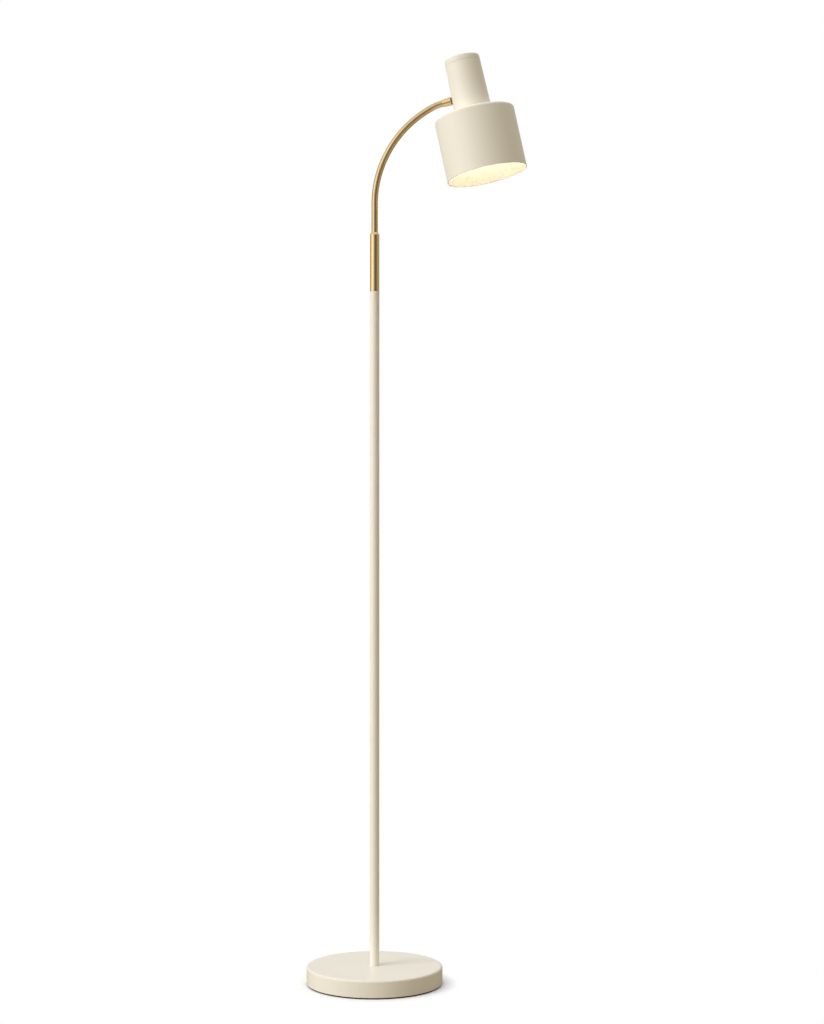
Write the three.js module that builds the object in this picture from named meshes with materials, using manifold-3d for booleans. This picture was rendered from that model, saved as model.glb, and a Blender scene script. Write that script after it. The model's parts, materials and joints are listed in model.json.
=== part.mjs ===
// Floor lamp with a slim pole, a flexible gooseneck arm and a drum shade.
// Millimetres, +Z up. The origin is the middle of the base's underside, on the pole's axis, and the arm
// leans over towards +X. The head has its own frame: its z runs up along the head's axis, its x runs away
// from the arm, and its origin is the middle of the drum's top face.

import * as THREE from 'three';
import { mergeVertices } from 'three/addons/utils/BufferGeometryUtils.js';
import Module from 'manifold-3d';

const wasm = await Module();
wasm.setup();

// ---------------------------------------------------------------- driving dimensions

const GAP = 0.3;                     // clearance between neighbouring solids
const OVERCUT = 1;                   // how far a cutting body runs past the faces it cuts

const BASE = {
  radius: 115,
  top: 30.5,                         // height of the cover's top face above the floor
  wall: 1.5,
  fillet: 3.5,
  padThickness: 2,
  padInset: 1.5,
  weightInset: 1.5,
  weightRecessDepth: 12,
  weightRim: 27,
  weightHub: 30,
  nutRecessRadius: 22,
  nutRecessDepth: 14,
  channelWidth: 13,
  channelHeight: 12.5,
};

const BUSH = {
  height: 8.5,                       // of its axis above the floor
  waist: 4.6,
  bore: 3,
  flange: 6.5,
  flangeThickness: 1.5,
  flangeChamfer: 0.5,
  lip: 5.6,
  lipThickness: 0.9,
  holeClearance: 0.4,
};

const POLE = {
  radius: 8,
  wall: 1.2,
  section: 380.5,
  plugLength: 50,
  plugBore: 3.5,
  footPlugLength: 25,
};

const STUD = { plugWall: 1.2, bore: 3.2, engagement: 20, tail: 2.5 };
const BASE_WASHER = { width: 5.7, thickness: 1.2 };
const BASE_NUT = { wall: 3.2, height: 6 };

const SLEEVE = { length: 100.3, shoulder: 3, shoulderRounding: 1.8 };
const SOCKET = { wall: 0.7, length: 25, depth: 14 };

const ARM = {
  bore: 2.75,
  straight: 48.5,                    // from the sleeve's top to the start of the bend
  bendRadius: 178,
  bendAngle: 64,
  tipBendRadius: 80,
  tipBendAngle: 13.6,
  sideJoint: 12,                     // distance of the first joint from the sleeve's top
  firstBendJoint: 40,
  bendJoints: 6,
  lastLength: 26.3,                  // from the last joint to the ferrule
};

const FERRULE = { wall: 0.7, length: 15, socketDepth: 9, seat: 1.5, shankBore: 2.8, chamfer: 0.8 };
const SWIVEL_WASHER = { inset: 0.4, thickness: 1.6 };
const FERRULE_WASHER = { width: 2.3, thickness: 1 };
const FERRULE_NUT = { wall: 1.7, height: 3.8 };

const NECK = {
  holderRoom: 3.1,                   // between the lampholder and the ferrule's nut, with the washer's seat
  taper: 1.9,                        // radius lost from foot to top
  length: 98,
  wall: 1.2,
  capLength: 10,
  capFillet: 4,
  capSpigot: 6,
  armHeight: 31.3,                   // of the ferrule's axis above the drum's top
  ringHeight: 4,
};

const DRUM = {
  radius: 68,
  length: 106,
  wall: 1,
  fillet: 5,
  ventCount: 12,
  ventStart: 5,                      // distance of the vents from the neck's foot
  ventWidth: 6,
  ventAngle: 18,
};

const SHADE_SCREW = {
  count: 3,
  start: 30,                         // angle of the first one, in degrees
  edge: 2.9,
  ledge: 4.5,
  shank: 1.5,
  head: 3,
  headTop: 2.1,
  headHeight: 2,
  holeClearance: 0.3,
};

const HOLDER = {
  foot: 6,                           // height of the lampholder's mouth above the drum's top
  dome: 4.8,
  shellInset: 1,
  shellRoom: 2.2,
  wall: 2.6,
  bodyLength: 38,
  capLength: 8,
  topThickness: 4,
  wireHole: 2.6,
  shellWall: 0.6,
  contactRadius: 5,
  contactThickness: 0.8,
};

const BRACKET = { thickness: 1.5, width: 18, belowArm: 11.3, wallGap: 0.4, noseLength: 9 };
const NIPPLE = { radius: 4.8, bore: 3, engagement: 5, tail: 7 };
const NIPPLE_NUT = { wall: 1.4, height: 4.5 };

const BULB = {
  globe: 30,
  length: 108,
  glassWall: 0.8,
  shoulderAngle: 40,                 // where the globe ends and the glass draws in, above its widest circle
  neckEase: 0.45,                    // length of the two curves between globe and cap, as a share of the way
  capRadius: 13,
  capWall: 0.6,
  capShoulder: 3,
  capShoulderHeight: 2,
  insulatorInset: 4,
  capLength: 23,
  insulatorHeight: 3,
  tipRadius: 4.5,
  tipTop: 2.7,
  tipHeight: 1.2,
  capEnd: 36.8,                      // height of the bulb's contact above the drum's top
};

// ---------------------------------------------------------------- finishes

const finish = (color, roughness, metalness) => ({ color, roughness, metalness });

const CREAM = finish(0xf1eadb, 0.45, 0);
const BRASS = finish(0xc9a063, 0.32, 1);
const NECK_BRASS = finish(0xb98f57, 0.42, 1);
const STEEL = finish(0xb9bbbd, 0.35, 1);
const IRON = finish(0x3a3b3d, 0.75, 0.6);
const RUBBER = finish(0x1d1c1b, 0.8, 0);
const MOULDING = finish(0xece7dc, 0.5, 0);
const OPAL = finish(0xfff1d6, 0.3, 0);

// ---------------------------------------------------------------- shape helpers

// Number of sides of a round body, from the widest to the smallest.
const FINE = 48;
const NECK_SIDES = 36;
const ROUND = 24;
const GLASS_SIDES = 20;
const SMALL = 16;
const TINY = 12;

const MERGE_DISTANCE = 1e-4;

const degrees = (value) => THREE.MathUtils.degToRad(value);

/** A closed solid for cutting and joining, from a geometry. */
function solid(geometry) {
  const plain = geometry.index ? geometry.toNonIndexed() : geometry.clone();
  plain.deleteAttribute('normal');
  plain.deleteAttribute('uv');
  const merged = mergeVertices(plain, MERGE_DISTANCE);
  return new wasm.Manifold(new wasm.Mesh({
    numProp: 3,
    vertProperties: new Float32Array(merged.attributes.position.array),
    triVerts: new Uint32Array(merged.index.array),
  }));
}

/** The geometry of a solid. */
function surface(body) {
  const mesh = body.getMesh();
  const geometry = new THREE.BufferGeometry();
  geometry.setAttribute('position', new THREE.BufferAttribute(mesh.vertProperties, 3));
  geometry.setIndex(new THREE.BufferAttribute(mesh.triVerts, 1));
  geometry.computeVertexNormals();
  return geometry;
}

/** Points of an arc in the [radius, height] plane of a turned profile, angles in degrees. */
function arc(centreRadius, centreHeight, radius, from, to, steps) {
  const points = [];
  for (let i = 0; i <= steps; i += 1) {
    const angle = degrees(from + ((to - from) * i) / steps);
    points.push([centreRadius + radius * Math.cos(angle), centreHeight + radius * Math.sin(angle)]);
  }
  return points;
}

/** A body turned about z. The outline runs counter-clockwise in [radius, height]. */
function turned(outline, sides) {
  const points = outline.map(([radius, height]) => new THREE.Vector2(radius, height));
  const onAxis = outline[0][0] === 0 && outline[outline.length - 1][0] === 0;
  if (!onAxis) points.push(points[0].clone());
  return new THREE.LatheGeometry(points, sides).rotateX(Math.PI / 2);
}

/** A tube, or a disc when the bore is 0, between two heights. */
function ring(radius, bore, bottom, top, sides) {
  if (bore === 0) return turned([[0, bottom], [radius, bottom], [radius, top], [0, top]], sides);
  return turned([[bore, bottom], [radius, bottom], [radius, top], [bore, top]], sides);
}

/** A cylinder along x between two places, for drilling. */
function drill(radius, from, to, sides) {
  return solid(new THREE.CylinderGeometry(radius, radius, to - from, sides).rotateZ(Math.PI / 2)
    .translate((from + to) / 2, 0, 0));
}

/** A hexagon nut: its wall is what is left between the bore and a flat. */
function hexNut(bore, wall, bottom, height) {
  const outline = new THREE.Shape();
  const corner = (2 * (bore + wall)) / Math.sqrt(3);
  for (let i = 0; i < 6; i += 1) {
    const angle = degrees(60 * i);
    const method = i === 0 ? 'moveTo' : 'lineTo';
    outline[method](corner * Math.cos(angle), corner * Math.sin(angle));
  }
  outline.closePath();
  const hole = new THREE.Path();
  hole.absarc(0, 0, bore, 0, 2 * Math.PI, true);
  outline.holes.push(hole);
  return new THREE.ExtrudeGeometry(outline, { depth: height, bevelEnabled: false, curveSegments: 6 })
    .translate(0, 0, bottom);
}

/** Turns a geometry made about z so that it runs along +x. */
const alongX = (geometry) => geometry.rotateY(Math.PI / 2);

const lamp = new THREE.Group();

/** Adds a named piece to a group. */
function piece(group, name, geometry, look) {
  const mesh = new THREE.Mesh(geometry, new THREE.MeshStandardMaterial(look));
  mesh.name = name;
  group.add(mesh);
  return mesh;
}

// ---------------------------------------------------------------- base

const coverFoot = BASE.padThickness + GAP;
const coverCeiling = BASE.top - BASE.wall;
const weightTop = coverCeiling - GAP;
const weightRadius = BASE.radius - BASE.wall - BASE.weightInset;
const nutCeiling = coverFoot + GAP + BASE.nutRecessDepth;
const poleBore = POLE.radius - POLE.wall;
const plugRadius = poleBore - GAP;
const studHole = plugRadius - STUD.plugWall;
const studRadius = studHole - GAP;

function baseCover() {
  const inner = BASE.radius - BASE.wall;
  const bend = BASE.fillet - BASE.wall;
  const shell = solid(turned([
    [studHole, coverCeiling],
    ...arc(inner - bend, coverCeiling - bend, bend, 90, 0, 2),
    [inner, coverFoot],
    [BASE.radius, coverFoot],
    ...arc(BASE.radius - BASE.fillet, BASE.top - BASE.fillet, BASE.fillet, 0, 90, 4),
    [studHole, BASE.top],
  ], FINE));
  const hole = drill(BUSH.waist + BUSH.holeClearance, BASE.radius / 2, BASE.radius + OVERCUT, ROUND)
    .rotate([0, 0, 90]).translate([0, 0, BUSH.height]);
  return surface(shell.subtract(hole));
}

function baseWeight() {
  const rimInner = weightRadius - BASE.weightRim;
  const recessFloor = weightTop - BASE.weightRecessDepth;
  const disc = solid(turned([
    [studHole, nutCeiling],
    [BASE.nutRecessRadius, nutCeiling],
    [BASE.nutRecessRadius, coverFoot + GAP],
    [weightRadius, coverFoot + GAP],
    [weightRadius, weightTop],
    [rimInner, weightTop],
    [rimInner, recessFloor],
    [BASE.weightHub, recessFloor],
    [BASE.weightHub, weightTop],
    [studHole, weightTop],
  ], FINE));
  const start = BASE.nutRecessRadius - BASE.channelWidth / 2;
  const length = weightRadius + OVERCUT - start;
  const channel = solid(new THREE.BoxGeometry(BASE.channelWidth, length, 2 * BASE.channelHeight)
    .translate(0, start + length / 2, coverFoot + GAP));
  return surface(disc.subtract(channel));
}

function cordBush() {
  const facetedInner = (BASE.radius - BASE.wall) * Math.cos(Math.PI / FINE);
  const wallInner = Math.sqrt(facetedInner ** 2 - BUSH.lip ** 2) - GAP;
  return turned([
    [BUSH.bore, wallInner - BUSH.lipThickness],
    [BUSH.lip, wallInner - BUSH.lipThickness],
    [BUSH.lip, wallInner],
    [BUSH.waist, wallInner],
    [BUSH.waist, BASE.radius + GAP],
    [BUSH.flange, BASE.radius + GAP],
    [BUSH.flange - BUSH.flangeChamfer, BASE.radius + GAP + BUSH.flangeThickness],
    [BUSH.bore, BASE.radius + GAP + BUSH.flangeThickness],
  ], SMALL).rotateX(-Math.PI / 2).translate(0, 0, BUSH.height);
}

const poleFoot = BASE.top + GAP;
const washerTop = nutCeiling - GAP;
const nutTop = washerTop - BASE_WASHER.thickness - GAP;
const studFoot = nutTop - BASE_NUT.height - STUD.tail;

const stand = new THREE.Group();
piece(stand, 'base_pad', ring(BASE.radius - BASE.padInset, 0, 0, BASE.padThickness, FINE), RUBBER);
piece(stand, 'base_cover', baseCover(), CREAM);
piece(stand, 'base_weight', baseWeight(), IRON);
piece(stand, 'cord_bush', cordBush(), RUBBER);
piece(stand, 'base_stud', ring(studRadius, STUD.bore, studFoot, poleFoot + STUD.engagement, SMALL), STEEL);
piece(stand, 'base_washer',
  ring(studHole + BASE_WASHER.width, studHole, washerTop - BASE_WASHER.thickness, washerTop, SMALL), STEEL);
piece(stand, 'base_nut', hexNut(studHole, BASE_NUT.wall, nutTop - BASE_NUT.height, BASE_NUT.height), STEEL);

// ---------------------------------------------------------------- pole and sleeve

const sectionStart = (index) => poleFoot + index * (POLE.section + GAP);
const sleeveFoot = sectionStart(3);
const sleeveTop = sleeveFoot + SLEEVE.length;

/** A threaded plug that bridges the seam below the given height. */
function seamPlug(seam) {
  const middle = seam - GAP / 2;
  return ring(plugRadius, POLE.plugBore, middle - POLE.plugLength / 2, middle + POLE.plugLength / 2, SMALL);
}

piece(stand, 'pole_foot_plug',
  ring(plugRadius, studHole, poleFoot, poleFoot + POLE.footPlugLength, SMALL), STEEL);
['pole_lower', 'pole_middle', 'pole_upper'].forEach((name, index) => {
  const bottom = sectionStart(index);
  piece(stand, name, ring(POLE.radius, poleBore, bottom, bottom + POLE.section, ROUND), CREAM);
});
['pole_joint_lower', 'pole_joint_upper', 'sleeve_joint'].forEach((name, index) => {
  piece(stand, name, seamPlug(sectionStart(index + 1)), STEEL);
});

const armHole = plugRadius - SOCKET.wall;
const armRadius = armHole - GAP;
const shoulderCeiling = sleeveTop - SLEEVE.shoulder;
const rounding = SLEEVE.shoulderRounding;

piece(stand, 'sleeve', turned([
  [poleBore, sleeveFoot],
  [POLE.radius, sleeveFoot],
  ...arc(POLE.radius - rounding, sleeveTop - rounding, rounding, 0, 90, 3),
  [armHole, sleeveTop],
  [armHole, shoulderCeiling],
  [poleBore, shoulderCeiling],
], ROUND), BRASS);

const socketTop = shoulderCeiling - GAP;
const armFoot = socketTop - SOCKET.depth;
piece(stand, 'arm_socket', turned([
  [POLE.plugBore, socketTop - SOCKET.length],
  [plugRadius, socketTop - SOCKET.length],
  [plugRadius, socketTop],
  [armHole, socketTop],
  [armHole, armFoot],
  [POLE.plugBore, armFoot],
], SMALL), BRASS);

// ---------------------------------------------------------------- gooseneck

const bendLength = ARM.bendRadius * degrees(ARM.bendAngle);
const tipLength = ARM.tipBendRadius * degrees(ARM.tipBendAngle);
const armLength = ARM.straight + bendLength + tipLength;
const headTilt = degrees(90 - ARM.bendAngle - ARM.tipBendAngle);

/** Lean of the gooseneck's centreline from the vertical, at a distance from the sleeve's top. */
function lean(distance) {
  if (distance <= ARM.straight) return 0;
  const bent = Math.min(distance - ARM.straight, bendLength) / ARM.bendRadius;
  const tip = Math.min(Math.max(distance - ARM.straight - bendLength, 0), tipLength) / ARM.tipBendRadius;
  return bent + tip;
}

/** Point of the gooseneck's centreline at a distance from the sleeve's top. */
function armPoint(distance) {
  if (distance <= ARM.straight) return new THREE.Vector3(0, 0, sleeveTop + distance);
  const main = Math.min(distance - ARM.straight, bendLength) / ARM.bendRadius;
  const point = new THREE.Vector3(
    ARM.bendRadius * (1 - Math.cos(main)),
    0,
    sleeveTop + ARM.straight + ARM.bendRadius * Math.sin(main),
  );
  const angle = lean(distance);
  point.x += ARM.tipBendRadius * (Math.cos(main) - Math.cos(angle));
  point.z += ARM.tipBendRadius * (Math.sin(angle) - Math.sin(main));
  const beyond = Math.max(distance - armLength, 0);
  point.x += beyond * Math.sin(angle);
  point.z += beyond * Math.cos(angle);
  return point;
}

/** The stretch of the centreline between two distances. */
class ArmStretch extends THREE.Curve {
  constructor(from, to) {
    super();
    this.from = from;
    this.to = to;
  }

  getPoint(t, target = new THREE.Vector3()) {
    return target.copy(armPoint(this.from + (this.to - this.from) * t));
  }

  getPointAt(t, target) {
    return this.getPoint(t, target);
  }
}

/** A round bar of the given radius along a stretch of the centreline. */
function armBar(radius, from, to, sides, steps) {
  const outline = new THREE.Shape();
  outline.absarc(0, 0, radius, 0, 2 * Math.PI);
  return solid(new THREE.ExtrudeGeometry(outline, {
    steps,
    curveSegments: sides / 2,
    bevelEnabled: false,
    extrudePath: new ArmStretch(from, to),
  }));
}

/** A ball centred on the centreline. */
function armBall(radius, distance) {
  const centre = armPoint(distance);
  return solid(new THREE.SphereGeometry(radius, SMALL, SMALL / 2)).translate([centre.x, centre.y, centre.z]);
}

const ARM_STEP = 13;                 // longest straight facet along the gooseneck

/** A length of gooseneck: a cup where it rides on the length before it, a ball where it carries the next. */
function gooseneck(from, to, cup, ball) {
  const steps = Math.max(2, Math.ceil((to - from) / ARM_STEP));
  let body = armBar(armRadius, from, to, SMALL, steps);
  if (ball) body = body.add(armBall(armRadius, to));
  if (cup) body = body.subtract(armBall(armRadius + GAP, from));
  const end = ball ? to + 2 * armRadius : to + OVERCUT;
  return surface(body.subtract(armBar(ARM.bore, from - OVERCUT, end, SMALL / 2, steps)));
}

const jointPitch = (armLength - ARM.firstBendJoint - ARM.lastLength) / (ARM.bendJoints - 1);
const jointDistances = [ARM.sideJoint];
for (let i = 0; i < ARM.bendJoints; i += 1) {
  jointDistances.push(ARM.firstBendJoint + i * jointPitch);
}
const socketDepthInSleeve = sleeveTop - armFoot - GAP;
const armEnds = [-socketDepthInSleeve, ...jointDistances, armLength + FERRULE.socketDepth - GAP];
for (let i = 0; i < armEnds.length - 1; i += 1) {
  const geometry = gooseneck(armEnds[i], armEnds[i + 1], i > 0, i < armEnds.length - 2);
  piece(stand, `gooseneck_${i + 1}`, geometry, NECK_BRASS);
}

lamp.add(stand);

// ---------------------------------------------------------------- head

const bulbCapRoom = 2 * GAP;
const shellRadius = BULB.capRadius + bulbCapRoom + HOLDER.shellWall;
const holderRadius = shellRadius + HOLDER.shellRoom + HOLDER.wall;
const clampStack = FERRULE_NUT.height + FERRULE_WASHER.thickness + BRACKET.thickness + BRACKET.wallGap
  + 3 * GAP;
const neckRadiusAtArm = holderRadius + NECK.holderRoom + clampStack + NECK.wall;
const neckRadius = (height) => neckRadiusAtArm + (NECK.taper * (NECK.armHeight - height)) / NECK.length;
const neckTubeTop = NECK.length - NECK.capLength - GAP;
const neckInner = (height) => neckRadius(height) - NECK.wall;
const ferruleRadius = armHole + FERRULE.wall;
const shankRadius = ferruleRadius - FERRULE.seat;
const shankHole = shankRadius + GAP;
const ferruleWasherRadius = shankHole + FERRULE_WASHER.width;
const ferruleFace = neckRadiusAtArm + SWIVEL_WASHER.thickness + GAP;
const headOrigin = armPoint(armLength);

const head = new THREE.Group();
head.rotation.y = -headTilt;
const ferruleStart = ferruleFace + FERRULE.length;
head.position.set(
  headOrigin.x + ferruleStart * Math.cos(headTilt) + NECK.armHeight * Math.sin(headTilt),
  0,
  headOrigin.z + ferruleStart * Math.sin(headTilt) - NECK.armHeight * Math.cos(headTilt),
);

const legOuter = (height) => neckInner(height) - BRACKET.wallGap;
const facetedLegInner = (legOuter(NECK.armHeight + ferruleWasherRadius) - BRACKET.thickness)
  * Math.cos(Math.PI / NECK_SIDES);
const ferruleWasherOuter = Math.sqrt(facetedLegInner ** 2 - ferruleWasherRadius ** 2) - GAP;
const ferruleNutOuter = ferruleWasherOuter - FERRULE_WASHER.thickness - GAP;
const shankEnd = ferruleNutOuter - FERRULE_NUT.height - GAP;

/** A geometry made about z, laid along the ferrule's axis. */
const onFerruleAxis = (geometry) => alongX(geometry).translate(0, 0, NECK.armHeight);

function ferrule() {
  const rim = -ferruleFace - FERRULE.length;
  return onFerruleAxis(turned([
    [FERRULE.shankBore, rim + FERRULE.socketDepth],
    [armHole, rim + FERRULE.socketDepth],
    [armHole, rim],
    [ferruleRadius - FERRULE.chamfer / 2, rim],
    [ferruleRadius, rim + FERRULE.chamfer],
    [ferruleRadius, -ferruleFace - FERRULE.chamfer],
    [ferruleRadius - FERRULE.chamfer / 2, -ferruleFace],
    [shankRadius, -ferruleFace],
    [shankRadius, -shankEnd],
    [FERRULE.shankBore, -shankEnd],
  ], SMALL));
}

/** The neck's outer form as a full body, grown by a margin. */
function neckForm(margin, top) {
  return solid(turned([
    [0, 0],
    [neckRadius(0) + margin, 0],
    [neckRadius(top) + margin, top],
    [0, top],
  ], NECK_SIDES));
}

function swivelWasher() {
  const face = -ferruleFace + GAP;
  const tube = ring(ferruleRadius - SWIVEL_WASHER.inset, shankHole, face, -neckInner(NECK.armHeight), SMALL);
  return surface(solid(onFerruleAxis(tube)).subtract(neckForm(GAP / 2, NECK.length)));
}

function neckHousing() {
  const foot = GAP;
  const tube = solid(turned([
    [neckInner(foot), foot],
    [neckRadius(foot), foot],
    [neckRadius(neckTubeTop), neckTubeTop],
    [neckInner(neckTubeTop), neckTubeTop],
  ], NECK_SIDES));
  const hole = drill(shankHole, -neckRadius(0) - OVERCUT, -neckRadius(0) / 2, SMALL)
    .translate([0, 0, NECK.armHeight]);
  return surface(tube.subtract(hole));
}

function neckCap() {
  const seam = NECK.length - NECK.capLength;
  const spigotFoot = seam - GAP - NECK.capSpigot;
  const spigot = neckInner(seam) - GAP;
  const ceiling = NECK.length - NECK.wall;
  return turned([
    [0, ceiling],
    [spigot - NECK.wall, ceiling],
    [spigot - NECK.wall, spigotFoot],
    [spigot, spigotFoot],
    [spigot, seam],
    [neckRadius(seam), seam],
    ...arc(neckRadius(NECK.length) - NECK.capFillet, NECK.length - NECK.capFillet, NECK.capFillet, 0, 90, 3),
    [0, NECK.length],
  ], NECK_SIDES);
}

/** Places a copy of a body at each of a number of equal turns about z. */
function around(body, count, start) {
  const copies = [];
  for (let i = 0; i < count; i += 1) copies.push(body.rotate([0, 0, start + (360 * i) / count]));
  return copies;
}

const ringRadius = neckInner(NECK.ringHeight) - GAP;
const screwPlace = ringRadius - SHADE_SCREW.edge;
const ringBore = screwPlace - SHADE_SCREW.ledge;
const plateUnderside = -DRUM.wall;

/** Cuts the three screw holes out of a body, between two heights. */
function withScrewHoles(body, bottom, top) {
  const radius = SHADE_SCREW.shank + SHADE_SCREW.holeClearance;
  const hole = solid(ring(radius, 0, bottom, top, TINY).translate(screwPlace, 0, 0));
  return around(hole, SHADE_SCREW.count, SHADE_SCREW.start).reduce((rest, cut) => rest.subtract(cut), body);
}

function neckRing() {
  const body = solid(ring(ringRadius, ringBore, GAP, GAP + NECK.ringHeight, NECK_SIDES));
  return surface(withScrewHoles(body, -OVERCUT, GAP + NECK.ringHeight + OVERCUT));
}

/** One vent: a curved slot between two radii, along part of a turn. */
function vent() {
  const inner = neckRadius(0) + DRUM.ventStart;
  const outer = inner + DRUM.ventWidth;
  const half = degrees(DRUM.ventAngle / 2);
  const outline = new THREE.Shape();
  outline.absarc(0, 0, outer, -half, half, false);
  outline.absarc(0, 0, inner, half, -half, true);
  const depth = DRUM.wall + 2 * OVERCUT;
  return solid(new THREE.ExtrudeGeometry(outline, { depth, bevelEnabled: false, curveSegments: 2 })
    .translate(0, 0, plateUnderside - OVERCUT));
}

function drumShade() {
  const inner = DRUM.radius - DRUM.wall;
  const bend = DRUM.fillet - DRUM.wall;
  const shell = solid(turned([
    [ringBore, plateUnderside],
    ...arc(inner - bend, plateUnderside - bend, bend, 90, 0, 2),
    [inner, -DRUM.length],
    [DRUM.radius, -DRUM.length],
    ...arc(DRUM.radius - DRUM.fillet, -DRUM.fillet, DRUM.fillet, 0, 90, 3),
    [ringBore, 0],
  ], FINE));
  const drilled = withScrewHoles(shell, plateUnderside - OVERCUT, OVERCUT);
  const vented = around(vent(), DRUM.ventCount, 0).reduce((rest, cut) => rest.subtract(cut), drilled);
  return surface(vented);
}

function shadeScrew() {
  const under = plateUnderside - GAP;
  return turned([
    [0, under - SHADE_SCREW.headHeight],
    [SHADE_SCREW.headTop, under - SHADE_SCREW.headHeight],
    [SHADE_SCREW.head, under - SHADE_SCREW.headHeight / 2],
    [SHADE_SCREW.head, under],
    [SHADE_SCREW.shank, under],
    [SHADE_SCREW.shank, NECK.ringHeight],
    [0, NECK.ringHeight],
  ], TINY);
}

piece(head, 'arm_ferrule', ferrule(), BRASS);
piece(head, 'swivel_washer', swivelWasher(), RUBBER);
piece(head, 'ferrule_washer', onFerruleAxis(ring(
  ferruleWasherRadius,
  shankHole,
  -ferruleWasherOuter,
  -ferruleWasherOuter + FERRULE_WASHER.thickness,
  SMALL,
)), STEEL);
piece(head, 'ferrule_nut',
  onFerruleAxis(hexNut(shankHole, FERRULE_NUT.wall, -ferruleNutOuter, FERRULE_NUT.height)), STEEL);
piece(head, 'neck_housing', neckHousing(), CREAM);
piece(head, 'neck_cap', neckCap(), CREAM);
piece(head, 'neck_ring', neckRing(), STEEL);
piece(head, 'drum_shade', drumShade(), CREAM);
for (let i = 0; i < SHADE_SCREW.count; i += 1) {
  const screw = piece(head, `shade_screw_${i + 1}`, shadeScrew(), STEEL);
  const angle = degrees(SHADE_SCREW.start + (360 * i) / SHADE_SCREW.count);
  screw.position.set(screwPlace * Math.cos(angle), screwPlace * Math.sin(angle), 0);
}

// ---------------------------------------------------------------- lampholder and its bracket

const holderTop = HOLDER.foot + HOLDER.bodyLength;
const holderCeiling = holderTop - HOLDER.topThickness;
const capFoot = holderTop + GAP;
const capTop = capFoot + HOLDER.capLength;
const shelf = capTop + GAP;
const nippleHole = NIPPLE.radius + GAP;
const bracketFoot = NECK.armHeight - BRACKET.belowArm;

function holderBody() {
  const inner = holderRadius - HOLDER.wall;
  return turned([
    [HOLDER.wireHole, holderCeiling],
    [inner, holderCeiling],
    [inner, HOLDER.foot],
    [holderRadius, HOLDER.foot],
    [holderRadius, holderTop],
    [HOLDER.wireHole, holderTop],
  ], ROUND);
}

function holderCap() {
  const pocket = capTop - NIPPLE.engagement;
  return turned([
    [HOLDER.wireHole, capFoot],
    [holderRadius, capFoot],
    ...arc(holderRadius - HOLDER.dome, capTop - HOLDER.dome, HOLDER.dome, 0, 90, 4),
    [nippleHole, capTop],
    [nippleHole, pocket],
    [HOLDER.wireHole, pocket],
  ], ROUND);
}

/** A strip bent like an L: its curved leg follows the neck's wall, its shelf carries the lampholder. */
function holderBracket() {
  const height = shelf + BRACKET.thickness;
  const leg = solid(turned([
    [legOuter(bracketFoot) - BRACKET.thickness, bracketFoot],
    [legOuter(bracketFoot), bracketFoot],
    [legOuter(height), height],
    [legOuter(height) - BRACKET.thickness, height],
  ], NECK_SIDES));
  const reach = legOuter(height) + BRACKET.noseLength;
  const plate = solid(turned([
    [0, shelf],
    [legOuter(height), shelf],
    [legOuter(height), height],
    [0, height],
  ], NECK_SIDES));
  const strip = solid(new THREE.BoxGeometry(reach + OVERCUT, BRACKET.width, NECK.length)
    .translate(BRACKET.noseLength - (reach + OVERCUT) / 2, 0, NECK.length / 2));
  const half = solid(new THREE.BoxGeometry(neckRadius(0), BRACKET.width, NECK.length)
    .translate(-neckRadius(0) / 2 - BRACKET.noseLength, 0, NECK.length / 2));
  const shank = drill(shankHole, -neckRadius(0), -neckRadius(0) / 2, SMALL).translate([0, 0, NECK.armHeight]);
  const stem = solid(ring(nippleHole, 0, shelf - OVERCUT, height + OVERCUT, SMALL));
  return surface(plate.intersect(strip).add(leg.intersect(half)).subtract(shank).subtract(stem));
}

const nippleFoot = capTop - NIPPLE.engagement + GAP;
piece(head, 'holder_body', holderBody(), MOULDING);
piece(head, 'holder_cap', holderCap(), MOULDING);
piece(head, 'holder_bracket', holderBracket(), STEEL);
piece(head, 'holder_nipple', ring(NIPPLE.radius, NIPPLE.bore, nippleFoot, shelf + NIPPLE.tail, SMALL), STEEL);
piece(head, 'holder_nut', hexNut(
  nippleHole,
  NIPPLE_NUT.wall,
  shelf + BRACKET.thickness + GAP,
  NIPPLE_NUT.height,
), STEEL);
piece(head, 'holder_shell', ring(
  shellRadius,
  shellRadius - HOLDER.shellWall,
  HOLDER.foot + HOLDER.shellInset,
  BULB.capEnd - BULB.insulatorHeight,
  ROUND,
), BRASS);
piece(head, 'holder_contact', ring(
  HOLDER.contactRadius,
  0,
  holderCeiling - GAP - HOLDER.contactThickness,
  holderCeiling - GAP,
  SMALL,
), BRASS);

// ---------------------------------------------------------------- bulb

const tipFoot = BULB.capEnd - BULB.tipHeight;
const insulatorTop = tipFoot - GAP;
const capEdge = insulatorTop - BULB.insulatorHeight - GAP;
const bulbCapFoot = capEdge - BULB.capLength;
const glassTop = bulbCapFoot - GAP;
const globeCentre = BULB.capEnd - BULB.length + BULB.globe;

/** Outline of the glass from its lowest point up to its open neck, moved inwards by an inset. */
function glassOutline(inset) {
  const points = arc(0, globeCentre, BULB.globe - inset, -90, BULB.shoulderAngle, 8);
  const [startRadius, startHeight] = points[points.length - 1];
  const slope = degrees(BULB.shoulderAngle);
  const reach = (glassTop - startHeight) * BULB.neckEase;
  const neck = new THREE.CubicBezierCurve(
    new THREE.Vector2(startRadius, startHeight),
    new THREE.Vector2(startRadius - reach * Math.sin(slope), startHeight + reach * Math.cos(slope)),
    new THREE.Vector2(BULB.capRadius - inset, glassTop - reach),
    new THREE.Vector2(BULB.capRadius - inset, glassTop),
  );
  neck.getPoints(4).slice(1).forEach((point) => points.push([point.x, point.y]));
  return points;
}

const glass = [...glassOutline(0), ...glassOutline(BULB.glassWall).reverse()];
glass[0][0] = 0;
glass[glass.length - 1][0] = 0;

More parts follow.
